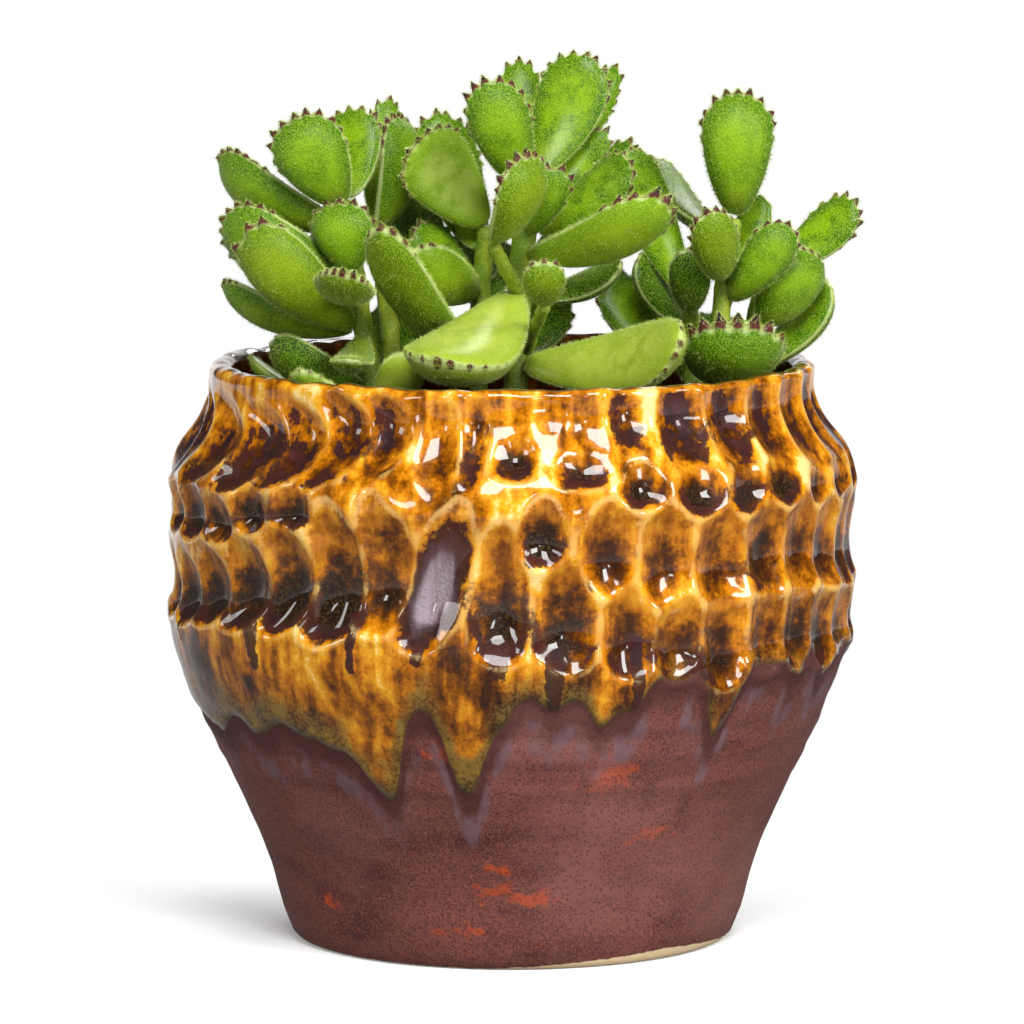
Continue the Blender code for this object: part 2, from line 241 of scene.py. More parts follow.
def gridFaces(rows, columns, start=0):  # quads of a grid that closes round its columns
    r, c = np.meshgrid(np.arange(rows - 1), np.arange(columns), indexing="ij")
    right = (c + 1) % columns
    a = r * columns + c
    b = r * columns + right
    faces = np.stack([a, b, b + columns, a + columns], axis=-1)
    return (faces.reshape(-1, 4) + start).tolist()


def closedGrid(rows, columns, flip=False):  # faces of a grid whose two ends close on a pole each
    faces = gridFaces(rows, columns)
    first, last = rows * columns, rows * columns + 1
    end = (rows - 1) * columns
    for i in range(columns):
        j = (i + 1) % columns
        faces.append((j, i, first))
        faces.append((end + i, end + j, last))
    return [tuple(reversed(face)) for face in faces] if flip else faces


def unit(vectors):
    return vectors / np.maximum(np.linalg.norm(vectors, axis=-1, keepdims=True), 1e-15)


def runLength(line):  # distance along a line of points
    return np.append(0, np.cumsum(np.linalg.norm(np.diff(line, axis=0), axis=1)))


def smoothCurve(points, steps):  # points on the smooth curve through the given ones
    points = np.array(points, dtype=float)
    padded = np.vstack([2 * points[0] - points[1], points, 2 * points[-1] - points[-2]])
    t = np.linspace(0, len(points) - 1, steps)
    i = np.minimum(t.astype(int), len(points) - 2)
    u = (t - i)[:, None]
    p0, p1, p2, p3 = padded[i], padded[i + 1], padded[i + 2], padded[i + 3]
    cubic = 2 * p0 - 5 * p1 + 4 * p2 - p3 + u * (3 * p1 - p0 - 3 * p2 + p3)
    return p1 + 0.5 * u * (p2 - p0 + u * cubic)


def waves(points, size, seed):  # smooth noise from -1 to 1; points in mm, size in mm
    shift = Vector((seed * 17.3, seed * 5.1, seed * 9.7))
    return np.array([noise.noise(Vector(p) / size + shift) for p in points])


# pot

potSizes = {
    "columns": 600,
    "outline": [  # height, radius over the ridges, in mm
        (0, 44.4), (1.2, 45.4), (5.5, 47.3), (10, 48.4), (15, 49.8), (20, 51.6), (25, 53.8),
        (30, 56), (35, 58.4), (40, 60.8), (45, 63.1), (50, 65.1), (55, 67.1), (62, 69.3),
        (72, 69.8), (82, 69.6), (90, 69.6), (94, 69.8), (99, 68.3), (104, 65.2), (109, 62.6),
        (112, 61.7), (115.4, 61.4),
    ],
    "rimTop": 117.0,
    "wall": 4.6,
    "floor": 7.0,
    "plainRows": (1.2, 33.0, 14),        # from, to, rows
    "dripRows": (33.0, 57.0, 34),
    "carvedRows": (57.0, 115.4, 90),
    "hollowGrow": 1.26,                  # neighbours overlap by this much and meet in a ridge
    "scoop": 0.32,                       # how far below its middle a hollow is deepest, as a share
    "deepen": 1.15,
    "flowWobble": 0.9,                   # how far the carving wanders, mm
    "glazeThickness": 0.5,
    "lipHeight": 0.7,
    "ringHeight": 0.22,
    "ringPitch": (7.3, 3.1),             # two sets of throwing rings, mm apart
    "runHeight": 0.3,
    "reliefBlur": 48, "crestBlur": 5,    # how wide a stretch the ridges are judged against
    "waves": (16, 14, 4.5),              # slow, second slow and fine unevenness of the hand, mm
}

# Carved hollows of the front: angle from the middle, height, half width, half height, depth,
# darkness and lilac. Angles are in degrees and lengths in mm, here and in the tables below.
frontHollows = {
    "flutes": [
        (-78, 104, 7, 8, 2.6, 0.8, 0.2), (-65, 104, 6.5, 8, 2.6, 0.7, 0.2),
        (-52, 103.5, 7, 7.5, 2.7, 0.8, 0.3), (-42, 105, 6.3, 7.5, 2.6, 0.8, 0.2),
        (-33, 107, 6, 9, 2.6, 0.6, 0.2), (-24, 108, 4.6, 8.5, 2.2, 0.7, 0.2),
        (-13, 106.5, 3.6, 8.5, 1.6, 0.2, 0.1), (-7, 109.5, 2.6, 9.5, 1.7, 1, 0.3),
        (-0.5, 112.5, 4.2, 6.5, 0.8, 0, 0), (7, 114.5, 4.2, 5, 0.8, 0.3, 1),
        (13.5, 110, 3.8, 6, 1.2, 0, 0.1), (21, 113, 3.6, 7, 1.8, 0.9, 0.3),
        (32, 111, 5.2, 9.5, 2.6, 0.9, 0.4), (43, 111, 5.2, 9.5, 2.6, 0.8, 0.4),
        (54, 109.5, 5.6, 9, 2.6, 0.6, 0.3), (65, 108.5, 5.8, 9, 2.6, 0.5, 0.3),
        (76, 108, 6, 9, 2.6, 0.55, 0.3),
    ],
    "pits": [
        (-77, 90, 5.3, 4.8, 2.4, 0.8, 0.1), (-67, 90, 5.2, 5, 2.4, 0.8, 0.1),
        (-58, 89.5, 5.6, 4.6, 2.4, 0.8, 0.1), (-48, 92.5, 4.8, 4.6, 2.4, 0.9, 0.1),
        (-39, 93.5, 4.6, 4, 2.3, 1, 0.3), (0.5, 104.5, 4, 3.8, 2.2, 0.9, 0.1),
        (12, 102, 4.8, 3, 1.9, 0.9, 0.2), (22, 98.5, 4.4, 4.2, 2.2, 0.6, 0.1),
        (33, 98, 4.9, 4.8, 2.4, 0.65, 0.1), (43, 97, 4.6, 4.6, 2.3, 0.9, 0.6),
        (52, 97.5, 5.2, 4.4, 2.3, 0.7, 0.2), (63, 96, 4.6, 4, 2.3, 0.7, 0.2),
        (73, 96, 4.8, 4.2, 2.3, 0.7, 0.2),
    ],
    "dents": [
        (-79, 74, 5, 6.5, 2.8, 0.7, 0.1), (-69.5, 74, 5, 6.8, 2.8, 0.8, 0.1),
        (-60, 75.5, 6.2, 6.8, 3, 0.9, 0.1), (-50, 78, 6.4, 8.3, 3, 0.9, 0.1),
        (-40, 80, 6, 10, 3, 0.8, 0.1), (-30.5, 81.5, 6.2, 12, 3.2, 0.9, 0.1),
        (-21.5, 84, 6, 11.5, 2.9, 0.6, 0.1), (-12, 82, 5.7, 12.5, 3.2, 0.8, 1),
        (-2, 79, 5, 12, 3, 0.8, 0.1), (5, 90, 4.3, 6.3, 2.7, 0.9, 0.1),
        (8.5, 75, 5.6, 10, 3, 0.7, 0.1), (16, 87.5, 5.2, 8, 2.8, 0.3, 0.1),
        (19.5, 72.5, 5.4, 8.9, 2.9, 0.4, 0.1), (26, 85.5, 5.8, 8.9, 2.9, 0.3, 0.1),
        (37, 84.5, 6.5, 9, 3, 0.45, 0.1), (47, 86, 6.4, 9, 3, 0.4, 0.1),
        (56.5, 85.5, 6.4, 9.2, 3, 0.35, 0.1), (66, 84.5, 6.3, 8.5, 3, 0.35, 0.1),
        (76, 84, 6.3, 8.5, 3, 0.4, 0.1),
    ],
    "lowerDents": [
        (28, 70, 5.5, 8.5, 2.8, 0.55, 0.3), (37, 69, 5.8, 9.5, 2.9, 0.6, 0.1),
        (47, 69, 5.4, 8, 2.8, 0.45, 0.2), (55.5, 69, 5.5, 8, 2.8, 0.5, 0.1),
        (64.5, 68, 6.3, 7.4, 2.8, 0.45, 0.1), (74, 67.5, 6.2, 6.6, 2.7, 0.45, 0.1),
    ],
}
# The same rows carry on round the back, from the right end of the front to its left end.
backHollows = {
    "from": 85, "to": 272, "spacing": 10.4, "jitter": 1.2,
    # height, half width and half height at each end, then depth
    "flutes": ((108, 104), (5.9, 6.6), (9, 8.2), 2.6),
    "pits": ((96, 90), (4.9, 5.3), (4.4, 4.8), 2.3),
    "dents": ((84, 74.5), (6.3, 5.8), (8.6, 7), 3.0),
    "lowerDents": ((67, 60), (6, 3), (6.8, 3), 2.6),
}
hollowBow = {"flutes": 6.0, "pits": 0.8, "dents": 3.0, "lowerDents": 0.0}    # bend on the left side
hollowLean = {-12: -0.28}    # hollows that lean over: angle, then mm for each mm of height
# Lower edge of the flowed glaze round the pot: angle, height in mm.
glazeEdge = [
    (-180, 55), (-174, 49), (-168, 57), (-160, 59), (-153, 46), (-147, 57), (-138, 58), (-131, 50),
    (-124, 56), (-116, 42), (-110, 52), (-103, 50), (-96, 44), (-89, 48.5), (-76, 47.5),
    (-66, 45.5), (-64, 46), (-58, 50.5), (-55.5, 48), (-52, 46.3), (-48.5, 47.8), (-45.5, 50.5),
    (-40, 48), (-35, 46), (-30, 44), (-27.5, 39), (-24, 35.3), (-22.8, 34.8), (-21.5, 38),
    (-19.5, 47.5), (-17.5, 54), (-15, 55), (-12.6, 54), (-11.7, 46), (-10.6, 39.5), (-9, 37.4),
    (-7.6, 37), (-6, 39.5), (-5, 44.5), (-4, 48), (-2, 51), (0, 55.5), (3.5, 58.5), (4.7, 57.8),
    (5.4, 55), (6.8, 54), (8.1, 55.2), (9, 57.2), (12.5, 56.5), (13.5, 52.6), (14.5, 50.8),
    (15.8, 50.5), (16.8, 51.5), (17.8, 56), (19, 54.5), (20.5, 53.4), (21.7, 54.5), (22.6, 59),
    (24, 61.5), (27.5, 59.8), (30.5, 60.8), (32.8, 62), (34.2, 58), (35.8, 51), (37.3, 47.2),
    (38.9, 47), (40, 50.5), (41, 57), (42, 62), (50.5, 61.5), (53, 61), (55, 58.2), (56.3, 57.5),
    (58, 60.3), (60, 63), (63, 62.5), (65.5, 56.5), (67.5, 56), (69, 60), (76, 60), (84, 61),
    (92, 55), (98, 60), (106, 61), (113, 48), (118, 60), (127, 58), (135, 61), (142, 54), (150, 60),
    (158, 58), (165, 62), (172, 52), (180, 55),
]
# Dark runs that have flowed out of the hollows: angle, top, bottom, half width in mm.
darkRuns = [
    (-73, 69, 62, 0.8), (-47, 72, 60, 1.8), (-26.5, 74, 61.5, 1.2), (-15.3, 74, 63.5, 1.4),
    (-2.5, 70, 60.5, 2.2), (6.6, 68, 54.3, 2), (21, 70, 54, 1.5), (96, 70, 58, 1.5),
    (118, 70, 57, 2), (139, 68, 56, 1.4), (161, 70, 59, 1.8), (-171, 70, 58, 1.4),
    (-150, 70, 56, 1.8), (-133, 70, 60, 1.2), (-114, 68, 54, 2), (-93, 68, 58, 1.3),
]

# Patches on the unglazed body: angle, height, half width, half height in mm.
rustPatches = [
    (-4, 16.5, 6, 2.2), (4.5, 15, 5, 2), (31, 28.5, 5, 1.5), (25, 27, 3, 1.5), (-11, 8, 6, 2),
    (-48, 12, 4, 2), (-2, 22, 4, 1), (-12, 46, 4, 3), (18, 42, 6, 5), (104, 20, 7, 2.5),
    (150, 34, 6, 2), (-160, 14, 7, 2.2), (-118, 24, 5, 2),
]
smudges = [
    (27, 36, 2.5, 5), (14, 38, 3, 6), (36, 33, 2, 4), (2, 13, 6, 1.5), (-30, 20, 7, 3),
    (-45, 26, 6, 4), (10, 4, 12, 2), (42, 9, 8, 3), (95, 32, 5, 6), (130, 12, 9, 3),
    (-175, 30, 6, 5), (-140, 36, 4, 6), (-100, 12, 9, 3),
]


def between(pair, share):
    return pair[0] + (pair[1] - pair[0]) * share


def listHollows():
    hollows = []
    rng = np.random.default_rng(7)
    ends = backHollows["from"], backHollows["to"]
    count = int((ends[1] - ends[0]) / backHollows["spacing"]) + 1
    for row, front in frontHollows.items():
        for values in front:
            bow = hollowBow[row] * np.interp(values[0], [-30, -14], [1, 0])
            hollows.append((*values, hollowLean.get(values[0], 0.0), bow, row))
        heights, widths, tall, depth = backHollows[row]
        for share in np.arange(count) / (count - 1):
            angle = between(ends, share) + rng.uniform(-1, 1) * backHollows["jitter"]
            hollows.append((
                angle - 360 if angle > 180 else angle,
                between(heights, share) + rng.uniform(-1.3, 1.3),
                between(widths, share) + rng.uniform(-0.3, 0.5),
                between(tall, share) + rng.uniform(-0.7, 0.9),
                depth * rng.uniform(0.85, 1.1), rng.uniform(0.5, 1.0), rng.uniform(0, 0.6),
                0.0, hollowBow[row] * share, row,
            ))
    return hollows


def arc(degrees, middle, radius=66):  # how far round the wall from the middle angle, mm
    return np.radians((degrees - middle + 180) % 360 - 180) * radius


def soften(field, times):  # averages a field with its neighbours round and up the pot
    for _ in range(times):
        across = (np.roll(field, 1, 1) + np.roll(field, -1, 1) + 2 * field) / 4
        field = across.copy()
        field[1:-1] = (across[:-2] + across[2:] + 2 * across[1:-1]) / 4
    return field


def potRows():  # radius, height and zone of each ring of points: 0 foot, 1 outside, 2 rim, 3 inside
    outline = np.array(potSizes["outline"], dtype=float)
    dense = smoothCurve(outline, 600)

    def outerAt(z):
        return np.interp(z, dense[:, 0], dense[:, 1])

    wall, top, floor = potSizes["wall"], potSizes["rimTop"], potSizes["floor"]
    shoulder, rim = outline[-1]
    foot = outline[0, 1]
    rows = [(0.0, 0.0, 0), (foot * 0.45, 0.0, 0), (foot - 1.5, 0.0, 0), (foot - 0.3, 0.3, 0)]
    for key in ("plainRows", "dripRows", "carvedRows"):
        low, high, count = potSizes[key]
        heights = np.linspace(low, high, count, endpoint=key == "carvedRows")
        rows += [(outerAt(z), z, 1) for z in heights]
    for turn in np.linspace(0, math.pi, 8)[1:-1]:
        across = rim - wall / 2 + math.cos(turn) * wall / 2
        rows.append((across, shoulder + math.sin(turn) * (top - shoulder), 2))
    rows += [(outerAt(z) - wall, z, 3) for z in np.linspace(shoulder, 99, 9)]
    rows += [(outerAt(z) - wall, z, 3) for z in (85, 60, 35, 16, floor + 2)]
    rows += [(outerAt(floor) - wall - 1.5, floor, 3), (0.0, floor, 3)]
    return np.array(rows)


def carve(degrees, height, zone, slow, slow2, fine):  # depth of the carving and masks for the glaze
    names = "depth", "fall", "dark", "lilac", "lip", "flute"
    masks = {name: np.zeros_like(height) for name in names}
    wobble = potSizes["flowWobble"]
    for middle, z, wide, tall, deep, shade, bloom, lean, bow, row in listHollows():
        isFlute = row == "flutes"
        rise = height - z + slow2 * wobble
        across = arc(degrees, middle) + slow * wobble + lean * rise + bow * ((rise / tall) ** 2 - 0.35)
        wide, tall = wide * potSizes["hollowGrow"], tall * potSizes["hollowGrow"]
        drop = potSizes["scoop"] * (0.4 if isFlute else 1.0)      # deepest this far below the middle
        fromDeepest = rise / tall + drop
        fromDeepest = fromDeepest / np.where(fromDeepest < 0, 1 - drop, 1 + drop)
        away = np.hypot(across / wide, fromDeepest) * (1 + 0.07 * fine)      # 1 at the edge
        down = np.clip(-rise / tall, -1.2, 1.2)
        side = np.clip(across / wide, -1, 1) * (bow / 6)
        here = deep * potSizes["deepen"] * np.clip(1 - away ** 1.5, 0, 1) * (1 + 0.3 * side)
        ledge = np.exp(-((away - 1.02) / 0.12) ** 2) * np.clip(down - 0.35, 0, 1)
        masks["lip"] = np.maximum(masks["lip"], ledge * (0.3 if isFlute else 1.0))
        better = here > masks["depth"]
        values = {"depth": here, "fall": down, "dark": shade, "lilac": bloom, "flute": float(isFlute)}
        for name, value in values.items():
            masks[name] = np.where(better, value, masks[name])
    near = np.clip((height - 108) / 9, 0, 1)
    masks["depth"] *= np.where(zone == 2, 0.7, 1.0) * (1 - 0.2 * near) * ((zone == 1) | (zone == 2))
    masks["lip"] *= zone == 1
    return masks


def buildPot():
    columns = potSizes["columns"]
    rows = potRows()
    count = len(rows)
    angle = -math.pi + np.arange(columns) * 2 * math.pi / columns
    theta = np.tile(angle, (count, 1))
    radius = np.repeat(rows[:, :1], columns, axis=1)
    height = np.repeat(rows[:, 1:2], columns, axis=1)
    zone = np.repeat(rows[:, 2:3], columns, axis=1)
    flat = np.stack([radius * np.sin(theta), -radius * np.cos(theta), height], axis=-1).reshape(-1, 3)
    sizes = enumerate(potSizes["waves"], 1)
    slow, slow2, fine = (waves(flat, size, seed).reshape(count, columns) for seed, size in sizes)
    degrees = np.degrees(theta)
    masks = carve(degrees, height, zone, slow, slow2, fine)
    depth = masks["depth"]

    # flowed glaze
    edgeAngles, edgeHeights = zip(*glazeEdge)
    edgeLine = np.interp(degrees[0], edgeAngles, edgeHeights)
    for _ in range(5):
        edgeLine = (np.roll(edgeLine, 1) + edgeLine + np.roll(edgeLine, -1)) / 3
    edgeGap = np.where(zone >= 2, 40, height - edgeLine + 0.5 * slow + 0.4 * fine)
    thick = np.clip(edgeGap / 1.4, 0, 1) ** 0.6
    swell = thick * (1 + np.exp(-np.clip(edgeGap, 0, None) / 4))
    run = np.zeros_like(height)
    for middle, high, low, wide in darkRuns:
        across = arc(degrees, middle, 68) + 1.2 * slow2 + 0.5 * fine
        wideHere = wide * (1.25 - 0.5 * np.clip((high - height) / (high - low), 0, 1))
        body = 1 - (across / wideHere) ** 2
        ends = np.clip((height - low) / wide, 0, 1) * np.clip((high - height) / wide, 0, 1)
        run = np.maximum(run, np.clip(body, 0, 1) ** 0.5 * ends ** 0.5)
    patches = {}
    for name, spots in (("rust", rustPatches), ("smudge", smudges)):
        patches[name] = np.zeros_like(height)
        for middle, z, wide, tall in spots:
            across = arc(degrees, middle, radius) + fine
            away = (across / wide) ** 2 + ((height - z + 0.5 * slow2) / tall) ** 2
            patches[name] = np.maximum(patches[name], np.exp(-away))
    turns = [height * 2 * math.pi / pitch for pitch in potSizes["ringPitch"]]
    rings = np.sin(turns[0] + 2.0 * slow + 0.6 * np.sin(theta)) * 0.6
    rings += np.sin(turns[1] + 1.5 * slow2) * 0.3
    plain = np.clip((58 - height) / 8, 0, 1) * np.clip((height - 1) / 6, 0, 1) * (zone == 1)
    offset = potSizes["lipHeight"] * masks["lip"] - depth
    offset += potSizes["glazeThickness"] * (swell - 1) * (zone == 1) * (height > 1.1)
    offset += potSizes["ringHeight"] * rings * plain + potSizes["runHeight"] * run
    offset += (0.25 * slow + 0.12 * fine * thick) * ((zone == 1) | (zone == 2))
    offset = np.where(zone == 3, 0.5 * slow * (height > 80), offset)
    offset = soften(offset, 1)           # the melted glaze rounds the carving off
    offset[:4] = 0
    relief = offset - soften(offset, potSizes["reliefBlur"])
    crest = offset - soften(offset, potSizes["crestBlur"])
    radius = radius + offset * (radius > 1)
    height = height + np.where(zone == 2, 0.5 * slow + 0.4 * fine - 0.35 * depth, 0)

    points = np.stack([radius * np.sin(theta), -radius * np.cos(theta), height], axis=-1)
    points = points.reshape(-1, 3)
    keep = slice(columns, (count - 1) * columns)
    verts = np.vstack([points[keep], [[0, 0, 0]], [[0, 0, potSizes["floor"]]]]) * mm
    mesh = bpy.data.meshes.new("glazedPot")
    mesh.from_pydata(verts.tolist(), [], closedGrid(count - 2, columns))

    def store(name, field, fill=0.0):
        setAttribute(mesh, name, np.append(field.reshape(-1)[keep], [fill, fill]))

    store("glazeGap", edgeGap, 40)
    fields = {
        "hollow": soften(np.clip(depth / 2.8, 0, 1), 1), "relief": relief,
        "crest": crest * (zone == 1), "run": run, **patches,
    }
    for name, field in fields.items():
        store(name, field)
    rimLine = potSizes["outline"][-1][1] - 0.2 * potSizes["wall"]
    lipInside = np.clip((rimLine - rows[:, :1]) / 0.8, 0, 1)
    store("inside", np.where(zone == 2, lipInside, zone == 3), 1)
    for name in ("fall", "dark", "lilac", "lip", "flute"):
        store(name, soften(masks[name], 2))
    clay = np.clip(1 - np.abs(degrees - 42) / 48, 0, 1)
    store("bare", (2.2 * clay + 0.3 - rows[:, 1:2]) * np.ones_like(theta))
    return addPiece("glazedPot", mesh, makeGlaze())


potColors = {
    "pale": (246, 212, 136),
    "yellow": (230, 166, 34),
    "amber": (194, 116, 10),
    "honeyBrown": (128, 70, 2),
    "darkBrown": (70, 34, 8),
    "pool": (32, 16, 7),
    "arch": (152, 96, 28),
    "archEdge": (224, 178, 104),
    "ridge": (234, 186, 100),
    # pale glaze on the lips under the hollows, partly a painted highlight where they face up
    "ledge": (246, 222, 158),
    "olive": (112, 92, 42),
    "oliveDark": (66, 52, 24),
    "plum": (44, 26, 28),
    "maroon": (66, 30, 26),
    # lilac: the glaze's lilac tone, which also carries a painted sheen; the colour after it is a painted
    # highlight
    "lilac": (140, 116, 126),
    "bloom": (196, 182, 192),
    "body": (118, 72, 65),
    "bodyDark": (72, 42, 42),
    "bodyPale": (148, 100, 93),
    "rust": (190, 78, 40),
    "speck": (164, 96, 78),
    "halo": (118, 94, 102),
    "clay": (240, 214, 172),
}


glazeLook = {
    "runStretch": 0.14, "ringStretch": 3.0,      # clouds drawn out downwards and sideways
    # cloud sizes, larger is finer
    "broad": 120.0, "middle": 430.0, "fine": 1500.0, "streak": 330.0, "grit": 2300.0, "grain": 900.0,
    "level": 0.315,                              # tone of level glaze, from 0 pale to 1 pool
    "tones": (
        (0.0, "pale"), (0.15, "yellow"), (0.34, "amber"), (0.5, "honeyBrown"), (0.66, "darkBrown"),
        (0.86, "pool"),
    ),
    "bodyRoughness": 0.5, "glazeRoughness": 0.2, "coatWeight": 0.9,
    "shader": {"Coat Roughness": 0.05, "Coat IOR": 1.46, "IOR": 1.4, "Specular IOR Level": 0.1},
    "bumpStrength": 0.3, "bumpDepth": 0.0008,
}


def makeGlaze():
    material, shader, n = newMaterial("carvedGlaze")
    times, plus, layer, step, cloud, look = n.times, n.plus, n.layer, n.step, n.cloud, glazeLook
    color = {name: linear(value) for name, value in potColors.items()}

    def cover(under, name, *masks):
        return n.cover(under, color[name], *masks)

    coords = n.place()
    tall = n.place((1, 1, look["runStretch"]))
    flat = n.place((1, 1, look["ringStretch"]))
    broad = cloud(coords, look["broad"], 3.0)
    middle = cloud(coords, look["middle"], 6.0)
    fine = cloud(coords, look["fine"], 4.0)
    streak = cloud(tall, look["streak"], 6.0)
    jitter = plus(times(middle, 0.8), times(fine, 0.35))
    hollow, fall, dark, lilac = map(n.read, ("hollow", "fall", "dark", "lilac"))
    lip, flute, relief, crest = map(n.read, ("lip", "flute", "relief", "crest"))
    run, bare = n.read("run"), n.read("bare")
    gap = plus(n.read("glazeGap"), times(jitter, 2.2), times(streak, 2.5))

    # satin body under the glaze
    body = n.patches(color["body"], color["bodyDark"], flat, 48.0, 6.0, 0.44, 0.85)
    body = cover(body, "bodyDark", step(plus(n.read("smudge"), times(middle, 1.2)), 0.3, 0.9), 0.6)
    rust = plus(n.read("rust"), times(middle, 2.2), times(cloud(flat, 60.0), 1.2))
    body = cover(body, "rust", step(rust, 0.38, 0.9), 0.8)
    grit = cloud(coords, look["grit"], 3.0)
    body = cover(body, "bodyDark", step(grit, 0.02, 0.16), 0.45)
    body = cover(body, "speck", step(grit, -0.02, -0.16), 0.45)
    body = cover(body, "bodyPale", step(cloud(coords, 26.0, 3.0), -0.02, 0.16), 0.5)
    body = cover(body, "speck", n.specks(coords, 1700.0, 0.42, 0.5), 0.3)
    body = cover(body, "bodyDark", n.specks(coords, 1500.0, 0.45, 0.55), 0.5)
    body = cover(body, "bodyDark", step(plus(gap, times(broad, 6.0)), -9.0, -2.0), 0.7)
    haloBand = times(step(gap, -12.5, -8.5), step(gap, -3.0, -6.0))
    haloBand = times(haloBand, step(plus(streak, times(broad, 0.6)), -0.08, 0.15))
    body = cover(body, "halo", haloBand, 0.75)

    # glaze that breaks pale over ridges and pools dark in hollows; the darkening in hollows and low relief
    # is partly painted shade
    # darker with hollow depth and lower relief: glaze pooling, partly painted shade in the recesses
    inHollow = times(hollow, plus(times(fall, 0.28), 0.28))
    inHollow = times(inHollow, plus(0.45, times(dark, 0.65)))
    depthTone = plus(look["level"], inHollow, times(relief, -0.12))
    wideStreak = times(cloud(tall, 120.0, 3.0), step(hollow, 0.35, 0.0))
    spread = plus(0.45, times(hollow, 0.2))
    calm = plus(1.0, times(hollow, -0.5))
    depthTone = plus(depthTone, times(streak, calm), times(broad, spread), times(middle, spread))
    depthTone = plus(depthTone, times(fine, 0.3))
    nearEdge = times(step(gap, 24.0, 10.0), step(hollow, 0.6, 0.0))
    depthTone = plus(depthTone, times(wideStreak, 1.5), times(nearEdge, 0.16))
    glaze = n.tones(depthTone, [(spot, color[name]) for spot, name in look["tones"]])
    mottling = step(plus(fine, times(streak, 0.5)), -0.05, 0.12)
    olive = cover(color["olive"], "oliveDark", mottling)
    toRight = step(n.split(coords)["X"], -0.01, 0.03)
    oliveGap = plus(gap, times(broad, 14.0), times(streak, 12.0), times(toRight, 5.0))
    glaze = layer(glaze, olive, times(step(oliveGap, 10.0, 2.5), plus(0.85, times(hollow, -0.6))))
    glaze = cover(glaze, "oliveDark", step(gap, 1.2, 0.3), 0.7)

    # hollows
    loose = plus(hollow, times(jitter, 0.9))
    low = plus(fall, times(jitter, 1.6))
    notFlute = n.calc("SUBTRACT", 1.0, flute)
    archShare = times(step(loose, 0.1, 0.4), step(low, 0.0, -0.6), notFlute)
    archColor = cover(color["arch"], "honeyBrown", step(plus(streak, middle), -0.1, 0.12))
    glaze = layer(glaze, archColor, times(archShare, 0.45))
    upper = plus(hollow, times(jitter, 0.3))
    archLine = times(step(upper, 0.0, 0.08), step(upper, 0.26, 0.12), step(low, -0.2, -0.6))
    glaze = cover(glaze, "archEdge", archLine, notFlute, 0.65)
    poolColor = cover(color["pool"], "olive", step(fine, 0.0, 0.14), 0.3)
    poolShare = times(step(loose, 0.45, 0.8), step(low, -0.3, 0.2), notFlute)
    poolShare = times(poolShare, step(plus(dark, times(broad, 1.5)), 0.4, 0.95))
    glaze = layer(glaze, poolColor, times(poolShare, 0.85))
    ridgeShare = step(plus(crest, times(jitter, 0.5)), 0.15, 0.34)
    glaze = cover(glaze, "ridge", ridgeShare, step(oliveGap, 8.0, 14.0), 0.6)
    plum = cover(color["plum"], "maroon", step(plus(broad, middle), -0.05, 0.15))
    # lilac over the plum: partly the glaze's lilac tone, partly a painted sheen in the hollows
    bloom = step(plus(hollow, times(streak, 1.4)), 0.5, 1.0)
    bloom = times(bloom, step(plus(lilac, times(broad, 1.5)), 0.25, 1.1))
    bloom = plus(times(bloom, 0.3), times(step(loose, 0.8, 1.1), step(lilac, 0.7, 0.9), 0.25))
    satin = cover(plum, "lilac", bloom)
    # painted highlight in the middle of the lilac hollow
    core = times(step(plus(hollow, times(streak, 0.8)), 0.8, 1.05), step(lilac, 0.75, 0.9))
    satin = cover(satin, "bloom", core, 0.45)
    border = times(step(loose, 0.1, 0.25), step(loose, 0.75, 0.5), step(low, -0.1, 0.4))
    border = times(border, step(plus(dark, times(broad, 3.0)), 0.5, 0.7))
    fluteShare = times(step(plus(loose, times(broad, 2.0)), 0.55, 0.7), flute)
    ragged = plus(dark, times(streak, 2.2), times(middle, 1.5))
    fluteShare = times(fluteShare, step(ragged, 0.62, 0.74))
    lilacShare = times(step(loose, 0.3, 0.5), step(lilac, 0.5, 0.8))
    satinShare = n.most(border, fluteShare, lilacShare, step(plus(run, times(jitter, 1.8)), 0.4, 0.6))
    glaze = layer(glaze, satin, times(satinShare, 0.92))
    # pale lips under the hollows: pale glaze, partly a painted highlight
    ledgeShare = times(step(plus(lip, times(jitter, 1.0)), 0.4, 0.8), step(broad, -0.12, 0.06))
    glaze = cover(glaze, "ledge", ledgeShare, 0.75)

    glazed = step(gap, -0.25, 0.35)
    surface = layer(body, glaze, glazed)
    inside = cover(color["darkBrown"], "honeyBrown", step(streak, 0.0, 0.15))
    surface = layer(surface, inside, n.read("inside"))
    bare = step(plus(bare, times(jitter, 0.8)), -0.1, 0.1)
    surface = cover(surface, "clay", bare)

    rough = n.fade(glazed, 0.0, look["bodyRoughness"], look["glazeRoughness"])
    rough = plus(rough, times(bare, 0.4), times(archShare, 0.15), times(satinShare, 0.12))
    dull = plus(times(satinShare, 0.25), times(archShare, 0.2))
    coat = n.calc("SUBTRACT", glazed, bare, clamp=True)
    coat = times(coat, n.calc("SUBTRACT", look["coatWeight"], dull))
    grain = times(cloud(coords, look["grain"], 3.0), 0.4)
    height = plus(grain, times(streak, 0.8), times(fine, poolShare, 5.0))
    inputs = {"Base Color": surface, "Roughness": rough, "Coat Weight": coat, **look["shader"]}
    n.dress(shader, inputs, height, look["bumpStrength"], look["bumpDepth"])
    return material


pot = buildPot()
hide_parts("pot")
print("pot built:", len(pot.data.polygons), "faces")


# leaves

